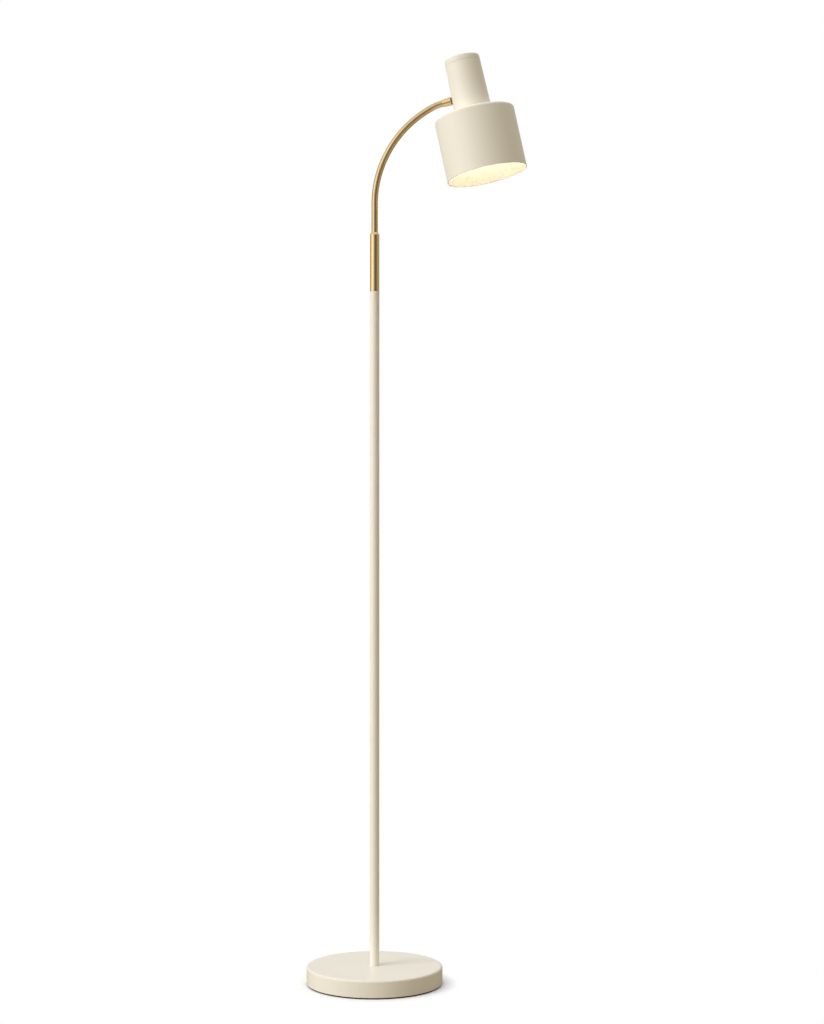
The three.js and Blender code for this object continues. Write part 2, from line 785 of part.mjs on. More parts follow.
piece(head, 'bulb_glass', turned(glass, GLASS_SIDES), OPAL);
const capShoulder = capEdge - BULB.capShoulderHeight;
const capMouth = BULB.capRadius - BULB.capShoulder;
piece(head, 'bulb_cap', turned([
  [BULB.capRadius - BULB.capWall, bulbCapFoot],
  [BULB.capRadius, bulbCapFoot],
  [BULB.capRadius, capShoulder],
  [capMouth, capEdge],
  [capMouth - BULB.capWall, capEdge],
  [BULB.capRadius - BULB.capWall, capShoulder],
], SMALL), STEEL);
piece(head, 'bulb_insulator', turned([
  [0, capEdge + GAP],
  [BULB.capRadius - BULB.insulatorInset, capEdge + GAP],
  [BULB.tipRadius, insulatorTop],
  [0, insulatorTop],
], SMALL), RUBBER);
piece(head, 'bulb_tip', turned([
  [0, tipFoot],
  [BULB.tipRadius, tipFoot],
  [BULB.tipTop, BULB.capEnd],
  [0, BULB.capEnd],
], SMALL), STEEL);

lamp.add(head);

export default lamp;
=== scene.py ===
"""Pharmacy floor lamp: the finished looks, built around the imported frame.

Everything is in metres, +Z up, in the frame of the part: the pole stands on the origin and the arm leans
over towards +X. Each sub-assembly is a class that holds its sizes and builds and dresses its own pieces.
Each finish is a small class that makes its own material. Places are read from the frame.
"""

import json
import logging
import math
from collections.abc import Iterable, Sequence
from dataclasses import dataclass
from enum import Enum

import bmesh
import bpy
import numpy as np
from mathutils import Matrix, Vector


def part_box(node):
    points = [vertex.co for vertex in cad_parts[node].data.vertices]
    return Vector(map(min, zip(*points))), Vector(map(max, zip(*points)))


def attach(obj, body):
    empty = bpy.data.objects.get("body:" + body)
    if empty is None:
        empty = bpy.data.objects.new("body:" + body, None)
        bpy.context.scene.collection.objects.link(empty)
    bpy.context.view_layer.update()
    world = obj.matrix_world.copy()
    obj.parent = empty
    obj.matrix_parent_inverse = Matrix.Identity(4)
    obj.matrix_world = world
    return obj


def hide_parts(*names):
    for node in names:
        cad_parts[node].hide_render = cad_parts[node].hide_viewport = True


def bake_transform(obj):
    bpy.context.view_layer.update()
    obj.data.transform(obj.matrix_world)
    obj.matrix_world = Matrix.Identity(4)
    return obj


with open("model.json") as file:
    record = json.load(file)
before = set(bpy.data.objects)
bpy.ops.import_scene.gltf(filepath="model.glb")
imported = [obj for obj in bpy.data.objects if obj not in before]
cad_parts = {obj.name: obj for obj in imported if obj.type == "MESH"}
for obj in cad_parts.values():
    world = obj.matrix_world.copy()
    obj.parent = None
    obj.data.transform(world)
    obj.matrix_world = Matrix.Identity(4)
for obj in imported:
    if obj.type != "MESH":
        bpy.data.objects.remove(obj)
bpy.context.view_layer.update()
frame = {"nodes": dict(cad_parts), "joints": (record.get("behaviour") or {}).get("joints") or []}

log = logging.getLogger("floor_lamp")

Rgb = tuple[float, float, float]
Socket = bpy.types.NodeSocket
Ring = tuple[float, float, float]

HAIRLINE = 0.00003  # the gap that is left where two finished pieces meet


# ---------------------------------------------------------------- places, read from the frame


class Body(Enum):
    """The bodies of the part that finished pieces ride on."""

    STAND = "stand"
    ARM_TIP = "arm_tip"
    HEAD = "head"


class Slot(Enum):
    """The material slots of the part."""

    PAINT = "cream_paint"
    BRASS = "brass"
    GOOSENECK = "gooseneck_brass"
    STEEL = "zinc_steel"
    RUBBER = "rubber"
    PAD = "pad"
    FIBRE = "fibre"
    PORCELAIN = "holder_moulding"
    OPAL = "opal_glass"
    BLACK_GLASS = "bulb_insulator"


@dataclass(frozen=True)
class Place:
    """Where a turned piece stands: the point its heights start from, and its own x and z directions."""

    origin: Vector
    x: Vector
    z: Vector

    def matrix(self) -> Matrix:
        """The matrix that takes the piece's own coordinates to the frame.

        Returns:
            A matrix that turns and moves, and doesn't scale.
        """
        y = self.z.cross(self.x)
        rows = Matrix((self.x, y, self.z)).transposed().to_4x4()
        return Matrix.Translation(self.origin) @ rows

    def span(self, node: str) -> tuple[float, float]:
        """How far a CAD node reaches along the place's own z.

        Args:
            node: name of the CAD node.

        Returns:
            Its lowest and highest height above the place's origin.
        """
        heights = [(vertex.co - self.origin).dot(self.z) for vertex in frame["nodes"][node].data.vertices]
        return min(heights), max(heights)

    def reach(self, node: str) -> float:
        """The largest distance of a CAD node from the place's z axis.

        Args:
            node: name of the CAD node.

        Returns:
            The node's outer radius.
        """
        offsets = [vertex.co - self.origin for vertex in frame["nodes"][node].data.vertices]
        return max((offset - self.z * offset.dot(self.z)).length for offset in offsets)


def joint_named(name: str) -> dict:
    """The frame's joint of that name."""
    return next(joint for joint in frame["joints"] if joint["name"] == name)


def stand_place() -> Place:
    """The place of the stand: the middle of the base's underside."""
    return Place(Vector((0.0, 0.0, 0.0)), Vector((1.0, 0.0, 0.0)), Vector((0.0, 0.0, 1.0)))


def ferrule_place() -> Place:
    """The place of the ferrule: its z runs along the swivel's axis towards the neck.

    Returns:
        A place whose origin is the ferrule's face on the swivel's axis.
    """
    swivel = joint_named("head_swivel")
    along = Vector(swivel["axis"]).normalized()
    up = Vector((-along.z, 0.0, along.x))
    return Place(Vector(swivel["pos_m"]), up, along)


def head_place() -> Place:
    """The place of the head: its z runs up the head's axis from the middle of the drum's top face.

    Returns:
        A place whose x runs away from the arm.
    """
    ferrule = ferrule_place()
    away, up = ferrule.z, ferrule.x
    corners = [vertex.co for vertex in frame["nodes"]["drum_shade"].data.vertices]
    across = [corner.dot(away) for corner in corners]
    top = max(corner.dot(up) for corner in corners)
    return Place(away * (min(across) + max(across)) / 2 + up * top, away, up)


# ---------------------------------------------------------------- making meshes


@dataclass(frozen=True)
class Corner:
    """One corner of a turned outline, with the rounding that softens it."""

    out: float
    up: float
    round: float = 0.0
    worn: bool = False


ARC_STEPS = 6
GUARD = 0.0006  # distance of the ring that keeps a flat flat beside a rounding
GUARD_SHARE = 0.8  # how much of the room beside a rounding that ring may take
SIDE_SHARE = 0.9  # how much of half a side a rounding may take
HOLE_SIDES = 32
SHARP_ANGLE = math.radians(34)
WELD = 1e-6


def rounded(corners: Sequence[Corner], steps: int = ARC_STEPS) -> list[Ring]:
    """Softens the corners of an outline.

    Args:
        corners: the outline's corners, in order.
        steps: facets in each rounding.

    Returns:
        The rings of the turned body as (distance from the axis, height, edge wear).
    """
    rings: list[Ring] = []
    for index, corner in enumerate(corners):
        here = Vector((corner.out, corner.up))
        if corner.round <= 0:
            rings.append((corner.out, corner.up, 0.0))
            continue
        sides = []
        for other in (corners[index - 1], corners[(index + 1) % len(corners)]):
            side = Vector((other.out, other.up)) - here
            sides.append((side.normalized(), side.length / 2))
        half = sides[0][0].angle(sides[1][0]) / 2
        tangent = min(corner.round / math.tan(half), *(SIDE_SHARE * room for _, room in sides))
        radius = tangent * math.tan(half)
        centre = here + (sides[0][0] + sides[1][0]).normalized() * (radius / math.sin(half))
        spokes = [here + side * tangent - centre for side, _ in sides]
        sweep = spokes[0].angle(spokes[1])
        guards = [min(GUARD, GUARD_SHARE * (room - tangent)) for _, room in sides]
        first = here + sides[0][0] * (tangent + guards[0])
        rings.append((first.x, first.y, 0.0))
        for step in range(steps + 1):
            share = step / steps
            before, after = math.sin((1 - share) * sweep), math.sin(share * sweep)
            spoke = (spokes[0] * before + spokes[1] * after) / math.sin(sweep)
            wear = math.sin(math.pi * share) if corner.worn else 0.0
            rings.append((centre.x + spoke.x, centre.y + spoke.y, wear))
        last = here + sides[1][0] * (tangent + guards[1])
        rings.append((last.x, last.y, 0.0))
    return rings


def settle(mesh: bpy.types.Mesh) -> None:
    """Welds a mesh, turns its faces outwards and shades it smooth between its sharp edges.

    Args:
        mesh: the mesh to settle.
    """
    work = bmesh.new()
    work.from_mesh(mesh)
    bmesh.ops.remove_doubles(work, verts=work.verts, dist=WELD)
    bmesh.ops.dissolve_degenerate(work, edges=work.edges, dist=WELD)
    bmesh.ops.recalc_face_normals(work, faces=work.faces)
    work.to_mesh(mesh)
    work.free()
    mesh.shade_smooth()
    mesh.set_sharp_from_angle(angle=SHARP_ANGLE)


def new_piece(name: str, corners: np.ndarray, faces: Sequence[Sequence[int]], place: Place | None,
              wear: np.ndarray | None = None) -> bpy.types.Object:
    """Makes an object from corners and faces.

    Args:
        name: the piece's name.
        corners: its corners, one row each, in the place's coordinates.
        faces: the corners of each face.
        place: where the piece stands, or None if the corners are in the frame already.
        wear: edge wear of each corner, from 0 to 1.

    Returns:
        The new object, linked to the scene.
    """
    mesh = bpy.data.meshes.new(name)
    mesh.from_pydata(corners.tolist(), [], [list(face) for face in faces])
    amount = mesh.attributes.new("wear", "FLOAT", "POINT")
    amount.data.foreach_set("value", (np.zeros(len(corners)) if wear is None else wear).astype(np.float32))
    settle(mesh)
    piece = bpy.data.objects.new(name, mesh)
    bpy.context.scene.collection.objects.link(piece)
    if place is not None:
        piece.matrix_world = place.matrix()
    return piece


def turned(name: str, corners: Sequence[Corner], place: Place, sides: int = 96,
           steps: int = ARC_STEPS) -> bpy.types.Object:
    """Turns an outline about the place's z axis.

    Args:
        name: the piece's name.
        corners: the outline, closed on itself, or starting and ending on the axis.
        place: where the piece stands.
        sides: facets around the axis.
        steps: facets in each rounding.

    Returns:
        The turned piece.
    """
    return spun(name, rounded(corners, steps), place, sides)


def spun(name: str, rings: Sequence[Ring], place: Place, sides: int = 96) -> bpy.types.Object:
    """Turns finished rings about the place's z axis.

    Args:
        name: the piece's name.
        rings: the rings as (distance from the axis, height, edge wear).
        place: where the piece stands.
        sides: facets around the axis.

    Returns:
        The turned piece.
    """
    profile = np.array(rings)
    turns = np.linspace(0, 2 * math.pi, sides, endpoint=False)
    corners = np.stack([
        np.outer(profile[:, 0], np.cos(turns)),
        np.outer(profile[:, 0], np.sin(turns)),
        np.repeat(profile[:, 1:2], sides, axis=1),
    ], axis=-1).reshape(-1, 3)
    on_axis = profile[0, 0] == 0 and profile[-1, 0] == 0
    joined = len(profile) - 1 if on_axis else len(profile)
    faces = []
    for ring in range(joined):
        below, above = ring * sides, ((ring + 1) % len(profile)) * sides
        for side in range(sides):
            following = (side + 1) % sides
            faces.append((below + side, below + following, above + following, above + side))
    return new_piece(name, corners, faces, place, np.repeat(profile[:, 2], sides))


def prism(name: str, outline: Sequence[tuple[float, float]], low: float, high: float,
          place: Place) -> bpy.types.Object:
    """Raises a flat outline along the place's z.

    Args:
        name: the piece's name.
        outline: its corners across the place's x and y.
        low: height of the lower face.
        high: height of the upper face.
        place: where the piece stands.

    Returns:
        The prism.
    """
    count = len(outline)
    corners = np.array([(x, y, height) for height in (low, high) for x, y in outline])
    faces: list[Sequence[int]] = [range(count - 1, -1, -1), range(count, 2 * count)]
    for side in range(count):
        following = (side + 1) % count
        faces.append((side, following, count + following, count + side))
    return new_piece(name, corners, faces, place)


def circle(radius: float, sides: int = HOLE_SIDES) -> list[tuple[float, float]]:
    """The corners of a round outline about the middle.

    Args:
        radius: the circle's radius.
        sides: how many corners it has.

    Returns:
        The corners, in order.
    """
    turns = [2 * math.pi * side / sides for side in range(sides)]
    return [(radius * math.cos(turn), radius * math.sin(turn)) for turn in turns]


def carve(piece: bpy.types.Object, cutters: Iterable[bpy.types.Object]) -> None:
    """Cuts bodies out of a piece and removes them.

    Args:
        piece: the piece to cut.
        cutters: the bodies to cut out of it.
    """
    for cutter in cutters:
        cut = piece.modifiers.new("cut", "BOOLEAN")
        cut.operation = "DIFFERENCE"
        cut.solver = "EXACT"
        cut.object = cutter
        apply_modifiers(piece)
        bpy.data.objects.remove(cutter)
    settle(piece.data)


def apply_modifiers(piece: bpy.types.Object) -> None:
    """Bakes a piece's modifiers into its mesh.

    Args:
        piece: the piece whose modifiers are applied.
    """
    bpy.context.view_layer.update()
    graph = bpy.context.evaluated_depsgraph_get()
    finished = bpy.data.meshes.new_from_object(piece.evaluated_get(graph))
    piece.modifiers.clear()
    piece.data = finished


# ---------------------------------------------------------------- finishes


MIX_ONE, MIX_OTHER, MIX_RESULT = 6, 7, 2  # the colour sockets of a mix node


class Surface:
    """A material being made: its node tree, its shader and the patterns that drive them."""

    def __init__(self, name: str) -> None:
        """Starts a material with one shader.

        Args:
            name: the material's name.
        """
        self.material = bpy.data.materials.new(name)
        self.material.use_nodes = True
        self.tree = self.material.node_tree
        self.shader = self.tree.nodes["Principled BSDF"]

    def node(self, kind: str, **settings: object) -> bpy.types.Node:
        """Adds a node.

        Args:
            kind: the node's type.
            settings: its properties.

        Returns:
            The new node.
        """
        made = self.tree.nodes.new(kind)
        for key, value in settings.items():
            setattr(made, key, value)
        return made

    def feed(self, value: Socket | float | Sequence[float], target: Socket) -> None:
        """Links a socket to an input, or sets the input's value.

        Args:
            value: the socket, or a plain number or colour.
            target: the input that takes it.
        """
        if isinstance(value, bpy.types.NodeSocket):
            self.tree.links.new(value, target)
        else:
            target.default_value = value

    def constant(self, name: str, value: float | Sequence[float]) -> None:
        """Sets one of the shader's own inputs."""
        self.shader.inputs[name].default_value = value

    def drive(self, name: str, value: Socket) -> None:
        """Drives one of the shader's inputs from a pattern."""
        self.tree.links.new(value, self.shader.inputs[name])

    def grain(self, cell: float, detail: float = 2.0, stretch: Sequence[float] = (1.0, 1.0, 1.0)) -> Socket:
        """A soft random pattern in the piece's own coordinates.

        Args:
            cell: size of one blotch.
            detail: how many finer layers it has.
            stretch: how much longer the blotches are along x, y and z.

        Returns:
            The pattern's value, from 0 to 1.
        """
        place = self.node("ShaderNodeTexCoord")
        scale = self.node("ShaderNodeMapping")
        self.feed([1 / (cell * factor) for factor in stretch], scale.inputs["Scale"])
        self.feed(place.outputs["Object"], scale.inputs["Vector"])
        noise = self.node("ShaderNodeTexNoise")
        self.feed(scale.outputs["Vector"], noise.inputs["Vector"])
        self.feed(1.0, noise.inputs["Scale"])
        self.feed(detail, noise.inputs["Detail"])
        return noise.outputs[0]

    def attribute(self, name: str) -> Socket:
        """The value that the mesh holds under that name."""
        return self.node("ShaderNodeAttribute", attribute_name=name).outputs["Fac"]

    def spread(self, value: Socket, low: float, high: float, start: float = 0.3, end: float = 0.7) -> Socket:
        """Spreads a pattern over a range.

        Args:
            value: the pattern.
            low: the result where the pattern is at start.
            high: the result where the pattern is at end.
            start: the pattern's lower end.
            end: the pattern's upper end.

        Returns:
            The spread value.
        """
        spread = self.node("ShaderNodeMapRange")
        for key, number in (("From Min", start), ("From Max", end), ("To Min", low), ("To Max", high)):
            self.feed(number, spread.inputs[key])
        self.feed(value, spread.inputs["Value"])
        return spread.outputs["Result"]

    def reckon(self, operation: str, one: Socket, other: Socket | float) -> Socket:
        """Joins two values by arithmetic.

        Args:
            operation: name of the operation.
            one: the first value.
            other: the second value.

        Returns:
            The result.
        """
        sums = self.node("ShaderNodeMath", operation=operation)
        self.feed(one, sums.inputs[0])
        self.feed(other, sums.inputs[1])
        return sums.outputs[0]

    def times(self, one: Socket, other: Socket | float) -> Socket:
        """The product of two values."""
        return self.reckon("MULTIPLY", one, other)

    def plus(self, one: Socket, other: Socket | float) -> Socket:
        """The sum of two values."""
        return self.reckon("ADD", one, other)

    def mixed(self, share: Socket, one: Socket | Rgb, other: Socket | Rgb) -> Socket:
        """Mixes two colours.

        Args:
            share: 0 for the first colour, 1 for the second.
            one: the first colour.
            other: the second colour.

        Returns:
            The mixed colour.
        """
        mix = self.node("ShaderNodeMix", data_type="RGBA")
        self.feed(share, mix.inputs[0])
        for target, colour in ((mix.inputs[MIX_ONE], one), (mix.inputs[MIX_OTHER], other)):
            self.feed(colour if isinstance(colour, bpy.types.NodeSocket) else (*colour, 1.0), target)
        return mix.outputs[MIX_RESULT]

    def relief(self, height: Socket, depth: float, under: Socket | None = None) -> Socket:
        """Turns a pattern into relief.

        Args:
            height: the pattern.
            depth: how deep it is.
            under: relief that this one lies on.

        Returns:
            The surface's direction.
        """
        bump = self.node("ShaderNodeBump")
        self.feed(height, bump.inputs["Height"])
        self.feed(depth, bump.inputs["Distance"])
        if under is not None:
            self.feed(under, bump.inputs["Normal"])
        return bump.outputs["Normal"]


def tinted(colour: Rgb, factor: float) -> Rgb:
    """A colour made lighter or darker."""
    return tuple(min(1.0, channel * factor) for channel in colour)


@dataclass(frozen=True)
class CreamPaint:
    """Satin stoved paint over steel, with a fine orange peel and thin, dulled edges."""

    name: str = "cream_paint"
    colour: Rgb = (0.87, 0.825, 0.725)
    edge: Rgb = (0.77, 0.71, 0.60)
    gloss: tuple[float, float] = (0.30, 0.40)
    patch: float = 0.09
    patch_shift: tuple[float, float] = (0.985, 1.015)
    satin_patch: float = 0.03
    peel: float = 0.0016
    peel_depth: float = 0.000012
    dust: float = 0.00035
    dust_depth: float = 0.000002
    wear_cell: float = 0.004
    wear: tuple[float, float] = (0.3, 0.95)
    wear_dulling: float = 0.12

    def material(self) -> bpy.types.Material:
        """Makes the paint.

        Returns:
            The new material.
        """
        paint = Surface(self.name)
        patches = paint.grain(self.patch, 3)
        darker, lighter = (tinted(self.colour, shift) for shift in self.patch_shift)
        body = paint.mixed(paint.spread(patches, 0, 1), darker, lighter)
        worn = paint.times(paint.attribute("wear"), paint.spread(paint.grain(self.wear_cell, 4), *self.wear))
        paint.drive("Base Color", paint.mixed(worn, body, self.edge))
        satin = paint.spread(paint.grain(self.satin_patch, 4), *self.gloss)
        paint.drive("Roughness", paint.plus(satin, paint.times(worn, self.wear_dulling)))
        peel = paint.relief(paint.grain(self.peel, 2), self.peel_depth)
        paint.drive("Normal", paint.relief(paint.grain(self.dust, 1), self.dust_depth, peel))
        paint.constant("IOR", 1.5)
        return paint.material


@dataclass(frozen=True)
class Metal:
    """A plated or lacquered metal with fine lines along its length, and painted shade in the groove of a
    wound tube.
    """

    name: str
    colour: Rgb
    shade: Rgb
    gloss: tuple[float, float]
    line: float = 0.0003
    line_depth: float = 0.0000002
    stretch: tuple[float, float, float] = (1.0, 1.0, 60.0)
    # painted shade: the colour that darkens the bottom of the gooseneck's groove, where the groove's depth
    # is held on the mesh
    groove: Rgb = (0.48, 0.36, 0.19)
    cloud: float = 0.02
    line_gloss: float = 0.025
    rub_cell: float = 0.003
    rub: tuple[float, float] = (0.1, 0.8)
    rub_shine: float = 1.12

    def material(self) -> bpy.types.Material:
        """Makes the metal.

        Returns:
            The new material.
        """
        metal = Surface(self.name)
        cloud = metal.grain(self.cloud, 4)
        body = metal.mixed(metal.spread(cloud, 0, 1), self.colour, self.shade)
        edge = metal.times(metal.attribute("wear"), metal.spread(metal.grain(self.rub_cell, 3), *self.rub))
        rubbed = metal.mixed(edge, body, tinted(self.colour, self.rub_shine))
        # the groove's depth mask paints shade into the bottom of the groove; only the gooseneck's lengths
        # carry that mask
        metal.drive("Base Color", metal.mixed(metal.attribute("groove"), rubbed, self.groove))
        lines = metal.grain(self.line, 2, self.stretch)
        fine = metal.spread(lines, -self.line_gloss, self.line_gloss)
        metal.drive("Roughness", metal.plus(metal.spread(cloud, *self.gloss), fine))
        metal.drive("Normal", metal.relief(lines, self.line_depth))
        metal.constant("Metallic", 1.0)
        return metal.material


@dataclass(frozen=True)
class Coarse:
    """A matt material with a grainy skin: casting, rubber, felt or fibre."""

    name: str
    colour: Rgb
    spot: Rgb
    gloss: tuple[float, float]
    cell: float
    depth: float
    patch: float = 6.0

    def material(self) -> bpy.types.Material:
        """Makes the material.

        Returns:
            The new material.
        """
        skin = Surface(self.name)
        grain = skin.grain(self.cell, 5)
        skin.drive("Base Color", skin.mixed(skin.spread(grain, 0, 1), self.colour, self.spot))
        skin.drive("Roughness", skin.spread(skin.grain(self.cell * self.patch, 2), *self.gloss))
        skin.drive("Normal", skin.relief(grain, self.depth))
        return skin.material


@dataclass(frozen=True)
class Glaze:
    """Glazed porcelain or black glass: a hard clear skin over a speckled body."""

    name: str
    colour: Rgb
    speckle: Rgb
    gloss: tuple[float, float] = (0.08, 0.18)
    speck: float = 0.0006
    specks_from: tuple[float, float] = (0.62, 0.72)
    cloud: float = 0.006
    ripple: float = 0.004
    ripple_depth: float = 0.00002
    coat: float = 0.5
    coat_gloss: float = 0.05

    def material(self) -> bpy.types.Material:
        """Makes the glaze.

        Returns:
            The new material.
        """
        glaze = Surface(self.name)
        specks = glaze.spread(glaze.grain(self.speck, 1), 0, 1, *self.specks_from)
        glaze.drive("Base Color", glaze.mixed(specks, self.colour, self.speckle))
        glaze.drive("Roughness", glaze.spread(glaze.grain(self.cloud, 2), *self.gloss))
        glaze.drive("Normal", glaze.relief(glaze.grain(self.ripple, 2), self.ripple_depth))
        glaze.constant("Coat Weight", self.coat)
        glaze.constant("Coat Roughness", self.coat_gloss)
        return glaze.material


@dataclass(frozen=True)
class LitOpal:
    """Opal glass that glows from inside, a little brighter at the widest part of the globe."""

    name: str = "lit_opal"
    colour: Rgb = (0.95, 0.92, 0.86)
    light: Rgb = (1.0, 0.835, 0.67)
    strength: float = 9.6
    cloud: float = 0.025
    cloud_shade: float = 0.97
    gloss_cell: float = 0.008
    gloss: tuple[float, float] = (0.12, 0.22)
    ripple: float = 0.012
    ripple_depth: float = 0.00004

    def material(self) -> bpy.types.Material:
        """Makes the glass.

        Returns:
            The new material.
        """
        glass = Surface(self.name)
        cloud = glass.spread(glass.grain(self.cloud, 2), 0, 1)
        glass.drive("Base Color", glass.mixed(cloud, self.colour, tinted(self.colour, self.cloud_shade)))
        glass.drive("Roughness", glass.spread(glass.grain(self.gloss_cell, 3), *self.gloss))
        glass.drive("Normal", glass.relief(glass.grain(self.ripple, 1), self.ripple_depth))
        glass.drive("Emission Color", glass.mixed(cloud, self.light, tinted(self.light, self.cloud_shade)))
        glass.drive("Emission Strength", glass.times(glass.attribute("glow"), self.strength))
        return glass.material


@dataclass(frozen=True)
class FloorPaper:
    """Matt white paper under the lamp, which fades into the white around it.

    It throws back less light than it shows, so that the lamp stays a little darker underneath.
    """

    name: str = "floor_paper"
    colour: Rgb = (0.95, 0.965, 0.985)
    thrown: Rgb = (0.34, 0.27, 0.15)
    clear: float = 0.116
    faded: float = 0.142
    fibre: float = 0.0015
    fibre_shade: float = 0.995
    fibre_depth: float = 0.00002
    gloss: tuple[float, float] = (0.75, 0.9)

    def material(self) -> bpy.types.Material:
        """Makes the paper.

        Returns:
            The new material.
        """
        paper = Surface(self.name)
        seen = paper.node("ShaderNodeLightPath").outputs["Is Camera Ray"]
        fibres = paper.grain(self.fibre, 3)
        pale = paper.mixed(paper.spread(fibres, 0, 1), tinted(self.colour, self.fibre_shade), self.colour)
        paper.drive("Base Color", paper.mixed(seen, self.thrown, pale))
        paper.drive("Roughness", paper.spread(fibres, *self.gloss))
        paper.drive("Normal", paper.relief(fibres, self.fibre_depth))
        place = paper.node("ShaderNodeTexCoord")
        distance = paper.node("ShaderNodeVectorMath", operation="LENGTH")
        paper.feed(place.outputs["Object"], distance.inputs[0])
        fade = paper.spread(distance.outputs["Value"], 0, 1, self.clear, self.faded)
        white = paper.node("ShaderNodeEmission")
        mix = paper.node("ShaderNodeMixShader")
        paper.feed(paper.times(fade, seen), mix.inputs[0])
        paper.feed(paper.shader.outputs[0], mix.inputs[1])
        paper.feed(white.outputs[0], mix.inputs[2])
        paper.feed(mix.outputs[0], paper.tree.nodes["Material Output"].inputs["Surface"])
        return paper.material


class Finishes:
    """Every finish of the lamp, made once."""

    def __init__(self) -> None:
        """Makes the materials."""
        self.paint = CreamPaint().material()
        self.lining = CreamPaint("inside_enamel", (0.90, 0.88, 0.83), (0.88, 0.84, 0.76),
                                 (0.42, 0.52)).material()
        self.brass = Metal("satin_brass", (0.84, 0.63, 0.36), (0.815, 0.605, 0.335), (0.17, 0.21)).material()
        self.gooseneck = Metal("gooseneck_brass", (0.78, 0.62, 0.38), (0.74, 0.57, 0.33), (0.20, 0.26),
                               stretch=(1.0, 1.0, 1.0)).material()
        # the steel's groove colour is painted shade too, but no steel piece carries a groove mask
        self.steel = Metal("zinc_steel", (0.66, 0.67, 0.68), (0.58, 0.59, 0.61), (0.28, 0.40),
                           groove=(0.12, 0.12, 0.12)).material()
        self.iron = Coarse("cast_iron", (0.045, 0.046, 0.05), (0.02, 0.02, 0.021), (0.6, 0.8), 0.002,
                           0.0002).material()
        self.rubber = Coarse("moulded_rubber", (0.018, 0.017, 0.016), (0.03, 0.029, 0.027), (0.55, 0.7),
                             0.0006, 0.00003).material()
        self.foam = Coarse("pad_foam", (0.03, 0.028, 0.026), (0.012, 0.012, 0.011), (0.8, 0.95), 0.0008,
                           0.0002).material()
        self.fibre = Coarse("vulcanised_fibre", (0.20, 0.135, 0.07), (0.13, 0.09, 0.05), (0.5, 0.65), 0.0007,
                            0.00004).material()
        self.porcelain = Glaze("porcelain", (0.84, 0.82, 0.77), (0.70, 0.66, 0.60)).material()
        self.black_glass = Glaze("black_glass", (0.012, 0.012, 0.015), (0.03, 0.03, 0.035)).material()
        self.opal = LitOpal().material()


# ---------------------------------------------------------------- handing pieces to the frame


def dress(piece: bpy.types.Object, *materials: bpy.types.Material) -> None:
    """Gives a piece its materials.

    Args:
        piece: the piece to dress.
        materials: its materials, in the order of its faces' material numbers.
    """
    piece.data.materials.clear()
    for material in materials:
        piece.data.materials.append(material)


def hand_over(piece: bpy.types.Object, body: Body, slot: Slot, *nodes: str) -> None:
    """Lets a finished piece ride on a body in place of CAD nodes.

    Args:
        piece: the finished piece.
        body: the body that it rides on.
        slot: not used.
        nodes: the CAD nodes that it stands for.
    """
    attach(piece, body.value)
    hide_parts(*nodes)
    faces = len(piece.data.polygons)
    log.info("%s rides on %s for %s, %d faces", piece.name, body.value, ", ".join(nodes), faces)


def refinish(material: bpy.types.Material, *nodes: str) -> None:
    """Gives CAD nodes whose shape is right a better finish.

    Args:
        material: the finish.
        nodes: the CAD nodes that carry it.
    """
    for node in nodes:
        carried = frame["nodes"][node]
        carried.data.materials.clear()
        carried.data.materials.append(material)
        log.info("%s keeps its shape, with %s", node, material.name)


# ---------------------------------------------------------------- stand


